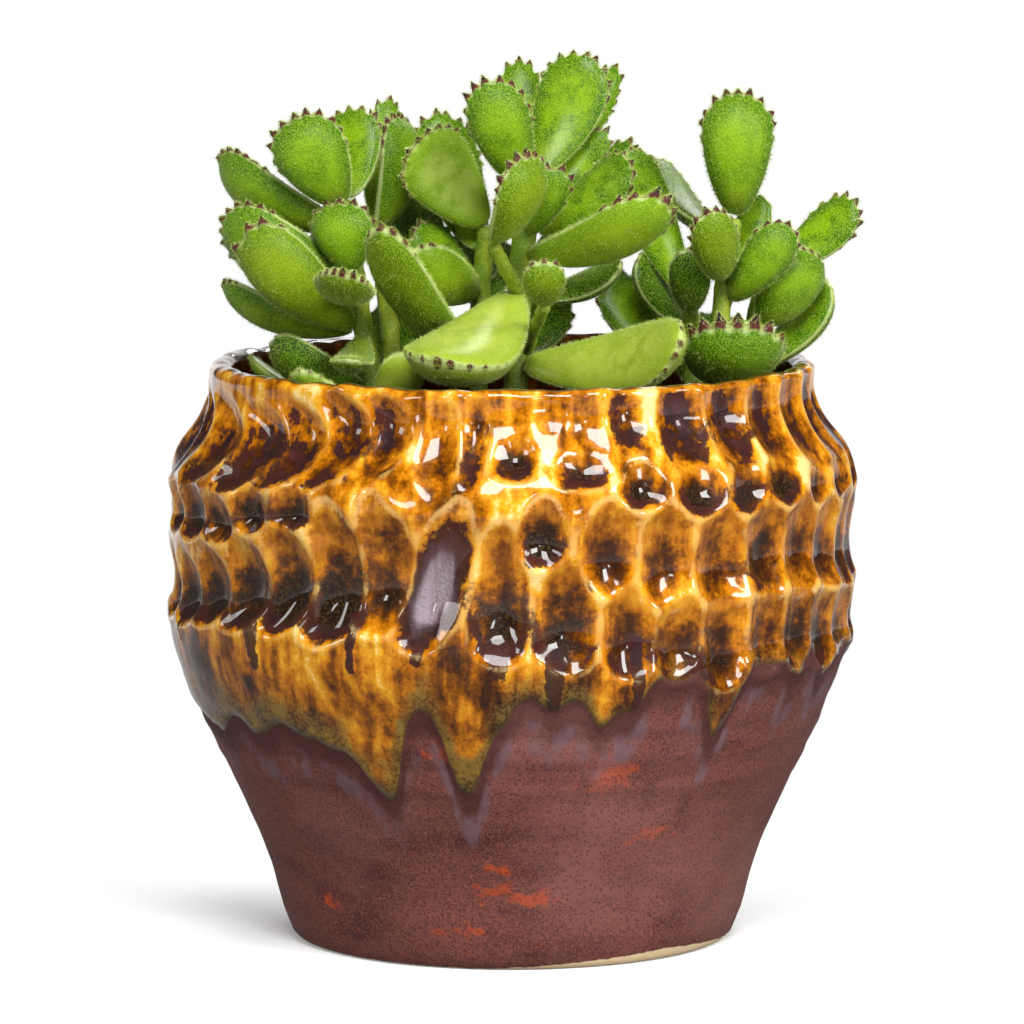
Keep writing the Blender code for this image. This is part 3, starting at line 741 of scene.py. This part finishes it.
leafShape = {
    "columns": 100,
    "rings": 16,
    "upperDome": 0.3, "underDome": 0.6,     # shares of the half width, as in the solids
    "arch": 0.09,
    "toothReach": 0.9,                      # mm that the solids' teeth stand out
    "tipCrowding": 0.6,
    "faceCentre": 0.55,
    "toothHeight": 1.85,                    # mm
    "toothFan": 0.62,                       # teeth point away from this share of the length
    "hairsPerArea": 3.9,                    # hairs in a square mm
    "marginHairs": 16.0,                    # how much denser the hairs stand along the margin
    "hairLength": (0.3, 0.8), "hairWidth": 0.075,      # mm
}


def leafOutline(s):
    return 1.35 * np.sqrt(s + 0.02) * np.sqrt(np.clip(1 - s ** 4, 0, None))


def meshPoints(node):
    points = np.empty(len(node.data.vertices) * 3)
    node.data.vertices.foreach_get("co", points)
    return points.reshape(-1, 3)


def leafPlace(node):  # base, length, axes and half width of a leaf solid
    points = meshPoints(node)
    middle = points.mean(axis=0)

    def farthest(spot):
        return points[np.argmax(((points - spot) ** 2).sum(axis=1))]

    other = farthest(farthest(middle))
    far = farthest(other)
    tip, base = sorted((far, other), key=lambda spot: np.linalg.norm(spot - middle))
    length = np.linalg.norm(tip - base) - leafShape["toothReach"] * mm
    along = unit(tip - base)
    sag = middle - base
    up = unit(along * (sag @ along) - sag)
    across = np.cross(up, along)
    local = points - base
    s = local @ along / length
    belly = (s > 0.3) & (s < 0.7)
    halfWidth = (np.abs(local @ across)[belly] / leafOutline(s[belly])).max()
    return base, length, along, across, up, halfWidth


# Height of the teeth: along is the distance round the margin from the tip, in mm.
def toothProfile(marginS, along, rng, toothedFrom, spacing):
    toothed = np.abs(along[marginS > toothedFrom]).max()
    last = max(1, round(toothed / spacing))
    tooth = np.zeros_like(along)
    for k in range(-last, last + 1):
        middle = (k + rng.uniform(-0.16, 0.16)) * spacing
        size = np.interp(abs(k) / last, [0, 0.6, 1], [1, 0.95, 0.5]) * rng.uniform(0.7, 1.15)
        point = np.clip(1 - np.abs(along - middle) / (0.44 * spacing), 0, 1) ** 1.15
        tooth = np.maximum(tooth, size * point)
    return tooth


# Points and masks of one leaf in its own axes; forward is how far it leans to the front.
def leafSurface(length, halfWidth, rng, teeth, forward):
    columns, rings, centre = leafShape["columns"], leafShape["rings"], leafShape["faceCentre"]
    turn = (np.arange(columns) * 2 * math.pi / columns + math.pi) % (2 * math.pi) - math.pi
    angle = turn - leafShape["tipCrowding"] * np.sin(turn)
    marginS = 0.5 + 0.5 * np.cos(angle)
    marginY = np.where(np.abs(np.sin(angle)) > 1e-6, np.sign(np.sin(angle)) * leafOutline(marginS), 0)
    order = np.argsort(turn)
    line = np.stack([marginS * length, marginY * halfWidth], axis=1)[order] / mm
    along = np.empty(columns)
    along[order] = runLength(line)
    along -= along[np.argmin(np.abs(turn))]
    toothHeight, toothDark, toothedFrom, spacing = teeth
    tooth = toothProfile(marginS, along, rng, toothedFrom, spacing)
    outward = unit(np.stack([marginS - leafShape["toothFan"], marginY * halfWidth / length], axis=1))
    lat = np.linspace(math.pi / 2, -math.pi / 2, rings + 1)[1:-1]
    lat = lat - 0.28 * np.sin(2 * lat)      # more rings close to the margin
    reach, rise = np.cos(lat)[:, None], np.sin(lat)[:, None]
    s = centre + (marginS - centre) * reach
    y = marginY * reach
    width = leafOutline(s)
    across = np.clip(y / np.maximum(width, 1e-6), -1, 1)
    side = np.sign(rise) * (np.abs(rise) > 1e-6)
    dome = np.where(side > 0, leafShape["upperDome"], leafShape["underDome"])
    dome = dome * halfWidth * width ** 0.7
    bow = -4 * leafShape["arch"] * length * s * (1 - s)
    z = side * dome * np.sqrt(np.clip(1 - across ** 2, 0, 1)) + bow
    near = np.clip((reach - 0.965) / 0.035, 0, 1) ** 1.5
    edge = np.clip((reach - 0.985) / 0.015, 0, 1)
    push = near * tooth * toothHeight * leafShape["toothHeight"] * mm
    x = s * length + outward[:, 0] * push
    lift = (0.25 + 1.2 * forward ** 2) * push
    points = np.stack([x, y * halfWidth + outward[:, 1] * push, z + lift], axis=-1).reshape(-1, 3)
    bowHere = 4 * leafShape["arch"] * length * centre * (1 - centre)
    for share in (leafShape["upperDome"], -leafShape["underDome"]):
        pole = share * halfWidth * leafOutline(np.array(centre)) ** 0.7 - bowHere
        points = np.vstack([points, [centre * length, 0, pole]])
    rim = edge * np.ones_like(s)
    toothed = np.clip((marginS - toothedFrom) / 0.08, 0, 1)

    def withPoles(field, top, bottom):
        return np.append((field * np.ones_like(s)).reshape(-1), [top, bottom])

    masks = {
        "tooth": withPoles(edge * tooth * toothDark, 0, 0),
        "rim": withPoles(rim * toothed * toothDark, 0, 0),
        "margin": withPoles(rim, 0, 0),
        "along": withPoles(s, centre, centre),
        "upper": withPoles(side, 1, -1),
        "outer": withPoles(reach, 0, 0),
    }
    return points, masks


def faceMeasures(points, faces):
    corners = points[np.array([face[:3] for face in faces])]
    normal = np.cross(corners[:, 1] - corners[:, 0], corners[:, 2] - corners[:, 0])
    quad = np.array([len(face) == 4 for face in faces])
    area = np.linalg.norm(normal, axis=1) * np.where(quad, 1.0, 0.5)
    return corners, unit(normal), area


def addHairs(points, faces, count, shape, rng, favour=None):  # thin closed cones standing on a surface
    corners, normal, area = faceMeasures(points, faces)
    if favour is not None:
        area = area * (1 + favour[[face[0] for face in faces]])
    pick = rng.choice(len(faces), count, p=area / area.sum())
    u, v = rng.random((2, count, 1))
    over = (u + v) > 1
    u, v = np.where(over, 1 - u, u), np.where(over, 1 - v, v)
    first, second, third = corners[pick, 0], corners[pick, 1], corners[pick, 2]
    root = first + u * (second - first) + v * (third - first)
    direction = unit(normal[pick] + rng.normal(0, 0.3, (count, 3)))
    size = rng.uniform(*shape["hairLength"], (count, 1)) * mm
    side = unit(np.cross(direction, rng.normal(size=(count, 3))))
    cross = np.cross(direction, side)
    half = shape["hairWidth"] * mm * 0.5
    foot = root - direction * 0.08 * mm
    rings = [foot + half * (math.cos(a) * side + math.sin(a) * cross) for a in (0, 2.0944, 4.18879)]
    verts = np.stack([*rings, root + direction * size], axis=1).reshape(-1, 3)
    start = len(points) + 4 * np.arange(count)[:, None]
    sides = [0, 1, 3], [1, 2, 3], [2, 0, 3], [0, 2, 1]
    hairFaces = np.concatenate([start + corners for corners in sides]).tolist()
    return np.vstack([points, verts]), faces + hairFaces


# A skin with hairs standing on it; masks hold a value for each point of the skin.
def addHairyPiece(name, points, faces, count, shape, masks, materials, rng, favour=None):
    count //= 1
    allPoints, allFaces = addHairs(points, faces, count, shape, rng, favour)
    mesh = bpy.data.meshes.new(name)
    mesh.from_pydata(allPoints.tolist(), [], allFaces)
    for key, values in masks.items():
        setAttribute(mesh, key, np.append(values, np.zeros(4 * count)))
    piece = addPiece(name, mesh, *materials)
    slots = (np.arange(len(allFaces)) >= len(faces)).astype(np.int32)
    mesh.polygons.foreach_set("material_index", slots)
    return piece


leafLooks = {  # face colour, darker colour for patches and for painted shade towards the margin, base colour, under side
    "leafGreen": ((114, 152, 0), (46, 94, 0), (166, 184, 34), (116, 158, 8)),
    "leafLit": ((148, 178, 10), (98, 136, 2), (178, 196, 46), (140, 172, 20)),
    "leafLower": ((112, 138, 0), (76, 108, 0), (160, 176, 30), (126, 154, 4)),
    "leafPale": ((178, 192, 70), (146, 168, 40), (184, 196, 80), (168, 186, 60)),
    # painted highlight: a lighter copy of the leaf colours for leaves that catch the light
    "leafPaintedHighlight": ((168, 192, 88), (118, 154, 28), (150, 180, 40), (120, 150, 50)),
    "leafShade": ((50, 92, 0), (26, 62, 0), (88, 124, 10), (58, 100, 2)),
}
leafTone = {
    "leafPale": ["middle_17", "middle_19", "left_15"],
    "leafPaintedHighlight": ["middle_01", "left_12", "left_13"],
    "leafLit": ["middle_11", "middle_14"],
    "leafLower": ["middle_18", "middle_16", "left_07", "left_10",
                  "left_14", "right_03", "left_16"],
    "leafShade": ["left_11", "right_07", "middle_12", "middle_15", "right_06",
                  "right_13", "right_05"],
}
# Teeth where they differ from the rest: height, darkness, where along the leaf they start, and
# spacing in mm.
plainTeeth = (1.0, 1.0, 0.6, 2.5)
rearTeeth = (0.6, 0.8, 0.75, 2.6)
leafTeeth = {
    "left_07": (1.5, 1.0, 0.8, 3.8), "left_08": (0.5, 1.0, 0.88, 2.2),
    "left_10": (0.4, 0.9, 0.9, 2.0), "left_11": (0.3, 0.3, 0.8, 2.5),
    "left_12": (0.2, 0.2, 0.8, 2.5), "left_13": (0.3, 0.3, 0.8, 2.5),
    "left_14": (0.1, 0.0, 0.8, 2.5), "left_15": (0.1, 0.0, 0.8, 2.5),
    "left_16": (0.6, 0.7, 0.85, 3.2), "middle_17": (0.25, 0.4, 0.7, 3.4),
    "middle_19": (0.4, 0.5, 0.75, 3.4), "middle_11": (1.2, 1.0, 0.72, 3.2),
    "middle_18": (0.4, 0.6, 0.8, 2.2), "middle_12": (0.3, 0.3, 0.8, 2.5),
    "middle_14": (0.4, 0.5, 0.85, 2.6), "right_11": (1.0, 0.9, 0.6, 3.4),
    "right_03": (0.6, 1.0, 0.62, 2.2), "right_04": (0.6, 1.0, 0.68, 2.4),
    "right_02": (0.3, 0.2, 0.8, 2.5), "right_06": (0.3, 0.3, 0.8, 2.5),
    "right_07": (0.3, 0.3, 0.8, 2.5), "right_09": (0.5, 0.9, 0.88, 2.2),
    "right_10": (0.3, 0.2, 0.8, 3.0), "right_14": (0.7, 0.6, 0.7, 3.0),
    "right_12": (0.6, 0.6, 0.8, 2.5),
}


leafSkin = {
    "mottle": 260.0, "ragged": 900.0,                       # cloud sizes, larger is finer
    "dots": (3100.0, 0.5, 1.0), "dot": (168, 200, 40),      # scale, size and share of the hairs' feet
    "margin": (216, 226, 160), "edge": (104, 50, 36), "tooth": (82, 30, 30), "toothTip": (32, 12, 14),
    "upperRoughness": 0.3, "underRoughness": 0.5,
    "shader": {"Specular IOR Level": 0.25, "Sheen Weight": 0.3, "Sheen Roughness": 0.35},
    "sheen": (220, 238, 160),
    "hair": (222, 234, 146), "hairDeep": (172, 198, 58),
}


def makeLeafMaterial(name, look):
    material, shader, n = newMaterial(name)
    times, plus, cover, step = n.times, n.plus, n.cover, n.step
    face, deep, base, under = map(linear, look)
    coords = n.place()
    s, side = n.read("along"), n.read("upper")
    mottled = n.patches(face, deep, coords, leafSkin["mottle"], 6.0, 0.42, 0.7)
    dots = n.specks(coords, *leafSkin["dots"])
    mottled = cover(mottled, under, step(side, 0.0, -0.5), 0.5)
    mottled = cover(mottled, base, step(s, 0.35, 0.0), 0.8)
    # painted shade: darker towards the margin, so the middle of each face reads lighter
    mottled = cover(mottled, deep, step(n.read("outer"), 0.45, 0.95), 0.8)
    mottled = cover(mottled, linear(leafSkin["dot"]), dots, 0.4)
    jitter = times(n.cloud(coords, leafSkin["ragged"], 3.0), 0.6)
    tooth = plus(n.read("tooth"), times(jitter, 0.5))
    edged = step(plus(n.read("rim"), jitter), 0.7, 1.05)
    margin = times(n.read("margin"), n.calc("SUBTRACT", 0.7, times(edged, 0.4)))
    surface = cover(mottled, linear(leafSkin["margin"]), margin)
    surface = cover(surface, linear(leafSkin["edge"]), edged, 0.75)
    surface = cover(surface, linear(leafSkin["tooth"]), step(tooth, 0.06, 0.26))
    surface = cover(surface, linear(leafSkin["toothTip"]), step(tooth, 0.35, 0.7))
    rough = n.fade(side, -1.0, leafSkin["underRoughness"], leafSkin["upperRoughness"])
    inputs = {"Base Color": surface, "Roughness": rough, "Sheen Tint": linear(leafSkin["sheen"])}
    n.dress(shader, {**inputs, **leafSkin["shader"]}, times(dots, 0.5), 0.5, 0.0003)
    return material


def makeHairMaterial():
    material, shader, n = newMaterial("whiteFuzz")
    tone = n.patches(linear(leafSkin["hair"]), linear(leafSkin["hairDeep"]), n.place(), 500.0)
    fill(material.node_tree, shader, {"Base Color": tone, "Roughness": 0.7})
    return material


# Small shaded leaves at the back of the stems: base, tip in mm, half width in mm.
rearLeaves = [
    ((-25, 5.5, 134), (-23, 20, 147), 7.5), ((-24, 5.5, 138), (-17, 19, 150), 5),
    ((-6, 7.5, 128), (-7, 22, 141), 7), ((-25, 5.5, 114), (-22, 20, 127), 7),
    ((-6, 7.5, 116), (10, 22, 128), 6.5), ((36, 6.5, 118), (28, 20, 131), 7),
    ((36, 6.5, 112), (44, 20, 124), 6.5),
]


def growLeaf(name, placing, teeth, materials, rng):  # placing as given back by leafPlace
    base, length, along, across, up, halfWidth = placing
    points, masks = leafSurface(length, halfWidth, rng, teeth, max(0.0, -along[1]))
    world = base + points[:, :1] * along + points[:, 1:2] * across + points[:, 2:] * up
    faces = closedGrid(leafShape["rings"] - 1, leafShape["columns"], flip=True)
    hairs = int(faceMeasures(world, faces)[2].sum() / mm ** 2 * leafShape["hairsPerArea"])
    favour = masks["margin"] * leafShape["marginHairs"]
    leaf = addHairyPiece(name, world, faces, hairs, leafShape, masks, materials, rng, favour)
    return leaf


def buildLeaves():
    materials = {name: makeLeafMaterial(name, look) for name, look in leafLooks.items()}
    fuzz = makeHairMaterial()
    toneOf = {leaf: tone for tone, leaves in leafTone.items() for leaf in leaves}
    names = sorted(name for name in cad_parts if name.startswith("leaf_"))
    for index, name in enumerate(names):
        rng = np.random.default_rng(100 + index)
        short = name.removeprefix("leaf_")
        skins = materials[toneOf.get(short, "leafGreen")], fuzz
        placing = leafPlace(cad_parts[name])
        leaf = growLeaf(name + "Fuzzy", placing, leafTeeth.get(short, plainTeeth), skins, rng)
        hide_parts(name)
    for index, (base, tip, halfWidth) in enumerate(rearLeaves):
        base, tip = np.array(base) * mm, np.array(tip) * mm
        along = unit(tip - base)
        up = np.array([0.0, -1.0, 0.9])
        up = unit(up - along * (up @ along))
        placing = (base, np.linalg.norm(tip - base), along, np.cross(up, along), up, halfWidth * mm)
        rng = np.random.default_rng(300 + index)
        skins = materials["leafShade"], fuzz
        leaf = growLeaf("rearLeaf%d" % (index + 1), placing, rearTeeth, skins, rng)
        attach(leaf, "root")


buildLeaves()
print("leaves built")


# stems

stemShape = {
    "sides": 28, "rings": 46,
    "knobSpacing": 5.5, "knobHeight": 0.35,       # leaf scars along a stem, mm
    "flare": 0.5,                                 # thicker at the soil, mm
    "hairs": 1000, "hairLength": (0.35, 0.8), "hairWidth": 0.055,
    "green": (104, 136, 10), "yellow": (148, 162, 32), "old": (46, 66, 12), "dot": (196, 208, 110),
}


def makeStemMaterial():
    material, shader, n = newMaterial("hairyStem")
    green, yellow, old, dot = (linear(stemShape[key]) for key in ("green", "yellow", "old", "dot"))
    tone = n.patches(green, yellow, n.place((1, 1, 0.4)), 330.0, 4.0, 0.4, 0.65)
    # darker green towards the soil
    tone = n.cover(tone, old, n.step(n.read("old"), 0.2, 1.0), 0.8)
    dots = n.specks(n.place(), 2200.0, 0.4, 0.6)
    tone = n.cover(tone, dot, dots, 0.35)
    n.dress(shader, {"Base Color": tone, "Roughness": 0.6}, dots, 0.4, 0.0003)
    return material


def tubeLine(node, stations):  # middle line and radius of a tube, from slices across it
    points = meshPoints(node)
    ends = np.empty(len(node.data.edges) * 2, dtype=np.int64)
    node.data.edges.foreach_get("vertices", ends)
    ends = ends.reshape(-1, 2)
    axis = np.linalg.svd(points - points.mean(axis=0), full_matrices=False)[2][0]
    axis = axis * np.sign(axis[2])
    reach = points @ axis
    line = []
    for cut in np.linspace(reach.min() + 0.4 * mm, reach.max() - 0.4 * mm, stations):
        a, b = reach[ends[:, 0]], reach[ends[:, 1]]
        crossing = (a - cut) * (b - cut) < 0
        share = ((cut - a) / np.where(crossing, b - a, 1))[crossing][:, None]
        ring = points[ends[crossing, 0]] * (1 - share) + points[ends[crossing, 1]] * share
        radius = np.linalg.norm(ring - ring.mean(axis=0), axis=1).max()
        line.append(((ring.min(axis=0) + ring.max(axis=0)) / 2, radius))
    return np.array([p for p, _ in line]), float(np.median([r for _, r in line]))


def buildStems():
    materials = makeStemMaterial(), bpy.data.materials["whiteFuzz"]
    names = sorted(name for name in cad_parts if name.startswith(("stem_", "shoot_")))
    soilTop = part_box("soil")[1].z
    rings, sides = stemShape["rings"], stemShape["sides"]
    turn = np.arange(sides) * 2 * math.pi / sides
    for index, name in enumerate(names):
        rng = np.random.default_rng(500 + index)
        line, radius = tubeLine(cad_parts[name], 9)
        path = smoothCurve(line, rings)
        forward = unit(np.gradient(path, axis=0))
        side = unit(np.cross(forward, [0.0, 1.0, 0.2]))
        third = np.cross(forward, side)
        run = runLength(path)[:, None] / mm
        knob = (run / stemShape["knobSpacing"] + 0.25 * np.cos(turn)) % 1 - 0.5
        knob = np.exp(-(knob / 0.12) ** 2) * (0.6 + 0.4 * np.cos(turn * 2 + run))
        flare = np.clip(1 - (path[:, 2:] - soilTop) / (6 * mm), 0, 1)
        size = radius / mm * 0.97 + stemShape["knobHeight"] * knob + stemShape["flare"] * flare
        size[[0, -1]] *= 0.6
        ring = size[:, :, None] * mm * (
            np.cos(turn)[None, :, None] * side[:, None] + np.sin(turn)[None, :, None] * third[:, None])
        points = np.vstack([(path[:, None] + ring).reshape(-1, 3), path[:1], path[-1:]])
        masks = {"old": np.clip(1 - (points[:, 2] - soilTop) / (32 * mm), 0, 1)}
        faces = closedGrid(rings, sides, flip=True)
        hairs = stemShape["hairs"]
        stem = addHairyPiece(name + "Hairy", points, faces, hairs, stemShape, masks, materials, rng)
        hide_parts(name)


buildStems()
print("stems built")


# soil

soilShape = {
    "columns": 150, "rings": 46,
    "lump": 1.1, "crumb": 0.45,                   # mm
    "grains": 900, "grainSize": (0.4, 1.5),
    "dark": (44, 32, 24), "light": (96, 74, 52), "bark": (120, 88, 56), "grit": (196, 184, 162),
}


def makeSoilMaterial():
    material, shader, n = newMaterial("crumblySoil")
    coords, kind = n.place(), n.read("grain")
    dark, light, bark, grit = (linear(soilShape[key]) for key in ("dark", "light", "bark", "grit"))
    tone = n.patches(dark, light, coords, 420.0, 8.0, 0.45, 0.7)
    tone = n.cover(tone, bark, n.step(kind, 0.5, 0.55))
    tone = n.cover(tone, grit, n.step(kind, 0.9, 0.92))
    crumbs = n.noiseAt(coords, 1400.0, 4.0)
    n.dress(shader, {"Base Color": tone, "Roughness": 0.95}, crumbs, 0.6, 0.0005)
    return material


def buildSoil():
    low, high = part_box("soil")
    top = high.z / mm - 1.5
    points = meshPoints(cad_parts["soil"]) / mm
    radii, heights = np.hypot(points[:, 0], points[:, 1]), points[:, 2]
    edge = radii[heights > top - 2].max()
    columns, rings = soilShape["columns"], soilShape["rings"]
    turn = np.arange(columns) * 2 * math.pi / columns
    out = np.linspace(0.02, 1, rings)[:, None] * edge
    flat = np.stack([out * np.cos(turn), out * np.sin(turn), np.full((rings, columns), top)], axis=-1)
    flat = flat.reshape(-1, 3)
    lump = waves(flat, 14, 21) * soilShape["lump"] + waves(flat, 3.5, 22) * soilShape["crumb"]
    lump += waves(flat, 1.4, 23) * soilShape["crumb"]
    flat[:, 2] += 1.2 * (1 - (np.hypot(flat[:, 0], flat[:, 1]) / edge) ** 2) + lump
    down = []
    for share in (0.75, 0.4, 0.1, 0.0):
        z = low.z / mm + (top - low.z / mm) * share
        size = radii[np.abs(heights - z) < 14].max() - 0.2 if share else edge * 0.55
        down.append(np.stack([size * np.cos(turn), size * np.sin(turn), np.full(columns, z)], axis=-1))
    body = np.vstack([flat, *down, [[0, 0, flat[:columns, 2].mean()]], [[0, 0, low.z / mm]]]) * mm
    faces = closedGrid(rings + 4, columns, flip=True)
    kinds = [np.zeros(len(body))]
    rng = np.random.default_rng(31)
    grain = bmesh.new()
    bmesh.ops.create_icosphere(grain, subdivisions=1, radius=1.0)
    ball = np.array([v.co for v in grain.verts])
    ballFaces = np.array([[v.index for v in f.verts] for f in grain.faces])
    grain.free()
    start = len(body)
    parts = [body]
    for _ in range(soilShape["grains"]):
        distance = edge * math.sqrt(rng.uniform(0, 0.97))
        angle = rng.uniform(0, 2 * math.pi)
        spot = np.array([distance * math.cos(angle), distance * math.sin(angle), 0])
        row = min(int(distance / edge * (rings - 1)), rings - 1)
        column = int(angle / (2 * math.pi) * columns) % columns
        spot[2] = flat[row * columns + column, 2] + 0.1
        size = rng.uniform(*soilShape["grainSize"]) * rng.uniform(0.5, 1.0, 3)
        shape = ball * size * (1 + rng.normal(0, 0.14, (len(ball), 1)))
        parts.append((shape + spot) * mm)
        faces += (ballFaces + start).tolist()
        start += len(ball)
        kinds.append(np.full(len(ball), rng.choice([0.2, 0.7, 1.0], p=[0.55, 0.37, 0.08])))
    mesh = bpy.data.meshes.new("crumblySoil")
    mesh.from_pydata(np.vstack(parts).tolist(), [], faces)
    setAttribute(mesh, "grain", np.concatenate(kinds))
    return addPiece("crumblySoil", mesh, makeSoilMaterial())


soil = buildSoil()
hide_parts("soil")
print("soil built")


# floor, light and camera

studio = {
    "floorSize": 3.0, "floorColor": (250, 250, 250), "floorGlow": 0.17,
    "shadowOval": {"Location": (0.05, 0.05, 0), "Scale": (1.0, 2.4, 1.0)},
    "bounceColor": (160, 160, 160),                      # what the floor throws back at the pot
    "floorReflection": 0.3, "frontReflection": 0.06,     # how bright the glaze mirrors floor and room
    "roomLight": 0.11,
    "lamps": {  # place, size and power
        "softLeft": ((-0.6, -0.75, 0.4), 0.16, 1.3),
        "softSide": ((-0.95, -0.15, 0.42), 0.2, 1.2),
        "softRight": ((0.65, -0.6, 0.5), 0.28, 5.7),
        "softFront": ((0.4, -1.0, 0.3), 0.12, 0.9),
        "softTop": ((0.05, -0.72, 0.81), 0.4, 10.2),
        "softBack": ((0.25, 0.9, 0.8), 0.5, 4.6),
    },
    "aim": (0, 0, 0.1),
    "lens": 225.0,
    "cameraPlace": (0.0, -1.290, 0.243),
    "cameraTilt": 83.06,
}


def makePaper():  # white, with a soft shadow only near the pot's foot and to its left
    material = bpy.data.materials.new("paperFloor")
    tree = clearTree(material)
    n = nodeTools(tree)

    def glow(strength):
        return addNode(tree, "ShaderNodeEmission", {"Strength": strength})[0]

    def matte(color):
        return addNode(tree, "ShaderNodeBsdfDiffuse", {"Color": linear(color)})[0]

    def mix(share, under, over):
        return addNode(tree, "ShaderNodeMixShader", {0: share, 1: under, 2: over})[0]

    coords = addNode(tree, "ShaderNodeTexCoord", {})["Object"]
    oval = addNode(tree, "ShaderNodeMapping", {"Vector": coords, **studio["shadowOval"]})[0]
    away = addNode(tree, "ShaderNodeVectorMath", {0: oval}, operation="LENGTH")["Value"]
    rays = addNode(tree, "ShaderNodeLightPath", {})
    lit = {0: matte(studio["floorColor"]), 1: glow(studio["floorGlow"])}
    lit = addNode(tree, "ShaderNodeAddShader", lit)[0]
    picture = mix(n.step(away, 0.08, 0.2), lit, glow(1.0))
    mirrored = glow(n.fade(n.step(away, 0.15, 1.8), 0.0, studio["floorReflection"], 1.0))
    picture = mix(rays["Is Glossy Ray"], picture, mirrored)
    seen = n.most(rays["Is Camera Ray"], rays["Is Glossy Ray"], rays["Is Transmission Ray"])
    surface = mix(seen, matte(studio["bounceColor"]), picture)
    addNode(tree, "ShaderNodeOutputMaterial", {"Surface": surface})
    return material


def lightWorld():  # bright behind, where it's seen and mirrored, and dim elsewhere
    world = bpy.data.worlds.new("studioWorld")
    bpy.context.scene.world = world
    tree = clearTree(world)
    n = nodeTools(tree)
    rays = addNode(tree, "ShaderNodeLightPath", {})
    behind = n.step(n.split(addNode(tree, "ShaderNodeTexCoord", {})["Generated"])["Y"], 0.86, 1.0)
    mirror = n.fade(behind, 0.0, studio["frontReflection"], 1.0)
    mirrored = n.most(rays["Is Glossy Ray"], rays["Is Transmission Ray"])
    strength = addNode(tree, "ShaderNodeMix", {0: mirrored, 2: studio["roomLight"], 3: mirror})[0]
    strength = n.most(strength, rays["Is Camera Ray"])
    background = addNode(tree, "ShaderNodeBackground", {"Color": (1, 1, 1, 1), "Strength": strength})
    addNode(tree, "ShaderNodeOutputWorld", {"Surface": background[0]})


def buildStudio():
    link = bpy.context.scene.collection.objects.link
    size = studio["floorSize"]
    corners = [(-size, -size, 0), (size, -size, 0), (size, size, 0), (-size, size, 0)]
    mesh = bpy.data.meshes.new("studioFloor")
    mesh.from_pydata(corners, [], [(0, 1, 2, 3)])
    mesh.materials.append(makePaper())
    floor = bpy.data.objects.new("studioFloor", mesh)
    link(floor)
    floor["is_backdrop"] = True
    lightWorld()

    for name, (spot, wide, power) in studio["lamps"].items():
        light = bpy.data.lights.new(name, "AREA")
        light.shape = "SQUARE"
        light.size = wide
        light.energy = power
        lamp = bpy.data.objects.new(name, light)
        lamp.location = spot
        lamp.rotation_euler = (Vector(spot) - Vector(studio["aim"])).to_track_quat("Z", "Y").to_euler()
        link(lamp)

    camera = bpy.data.objects.new("camera", bpy.data.cameras.new("camera"))
    camera.data.lens = studio["lens"]
    camera.data.sensor_width = 36.0
    camera.location = studio["cameraPlace"]
    camera.rotation_euler = (math.radians(studio["cameraTilt"]), 0, 0)
    link(camera)
    bpy.context.scene.camera = camera


buildStudio()
bpy.context.scene.view_settings.view_transform = "Standard"
print("studio set")

sizes = {"cad": [list(corner) for corner in cadBox], "visual": [list(corner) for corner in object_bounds()]}
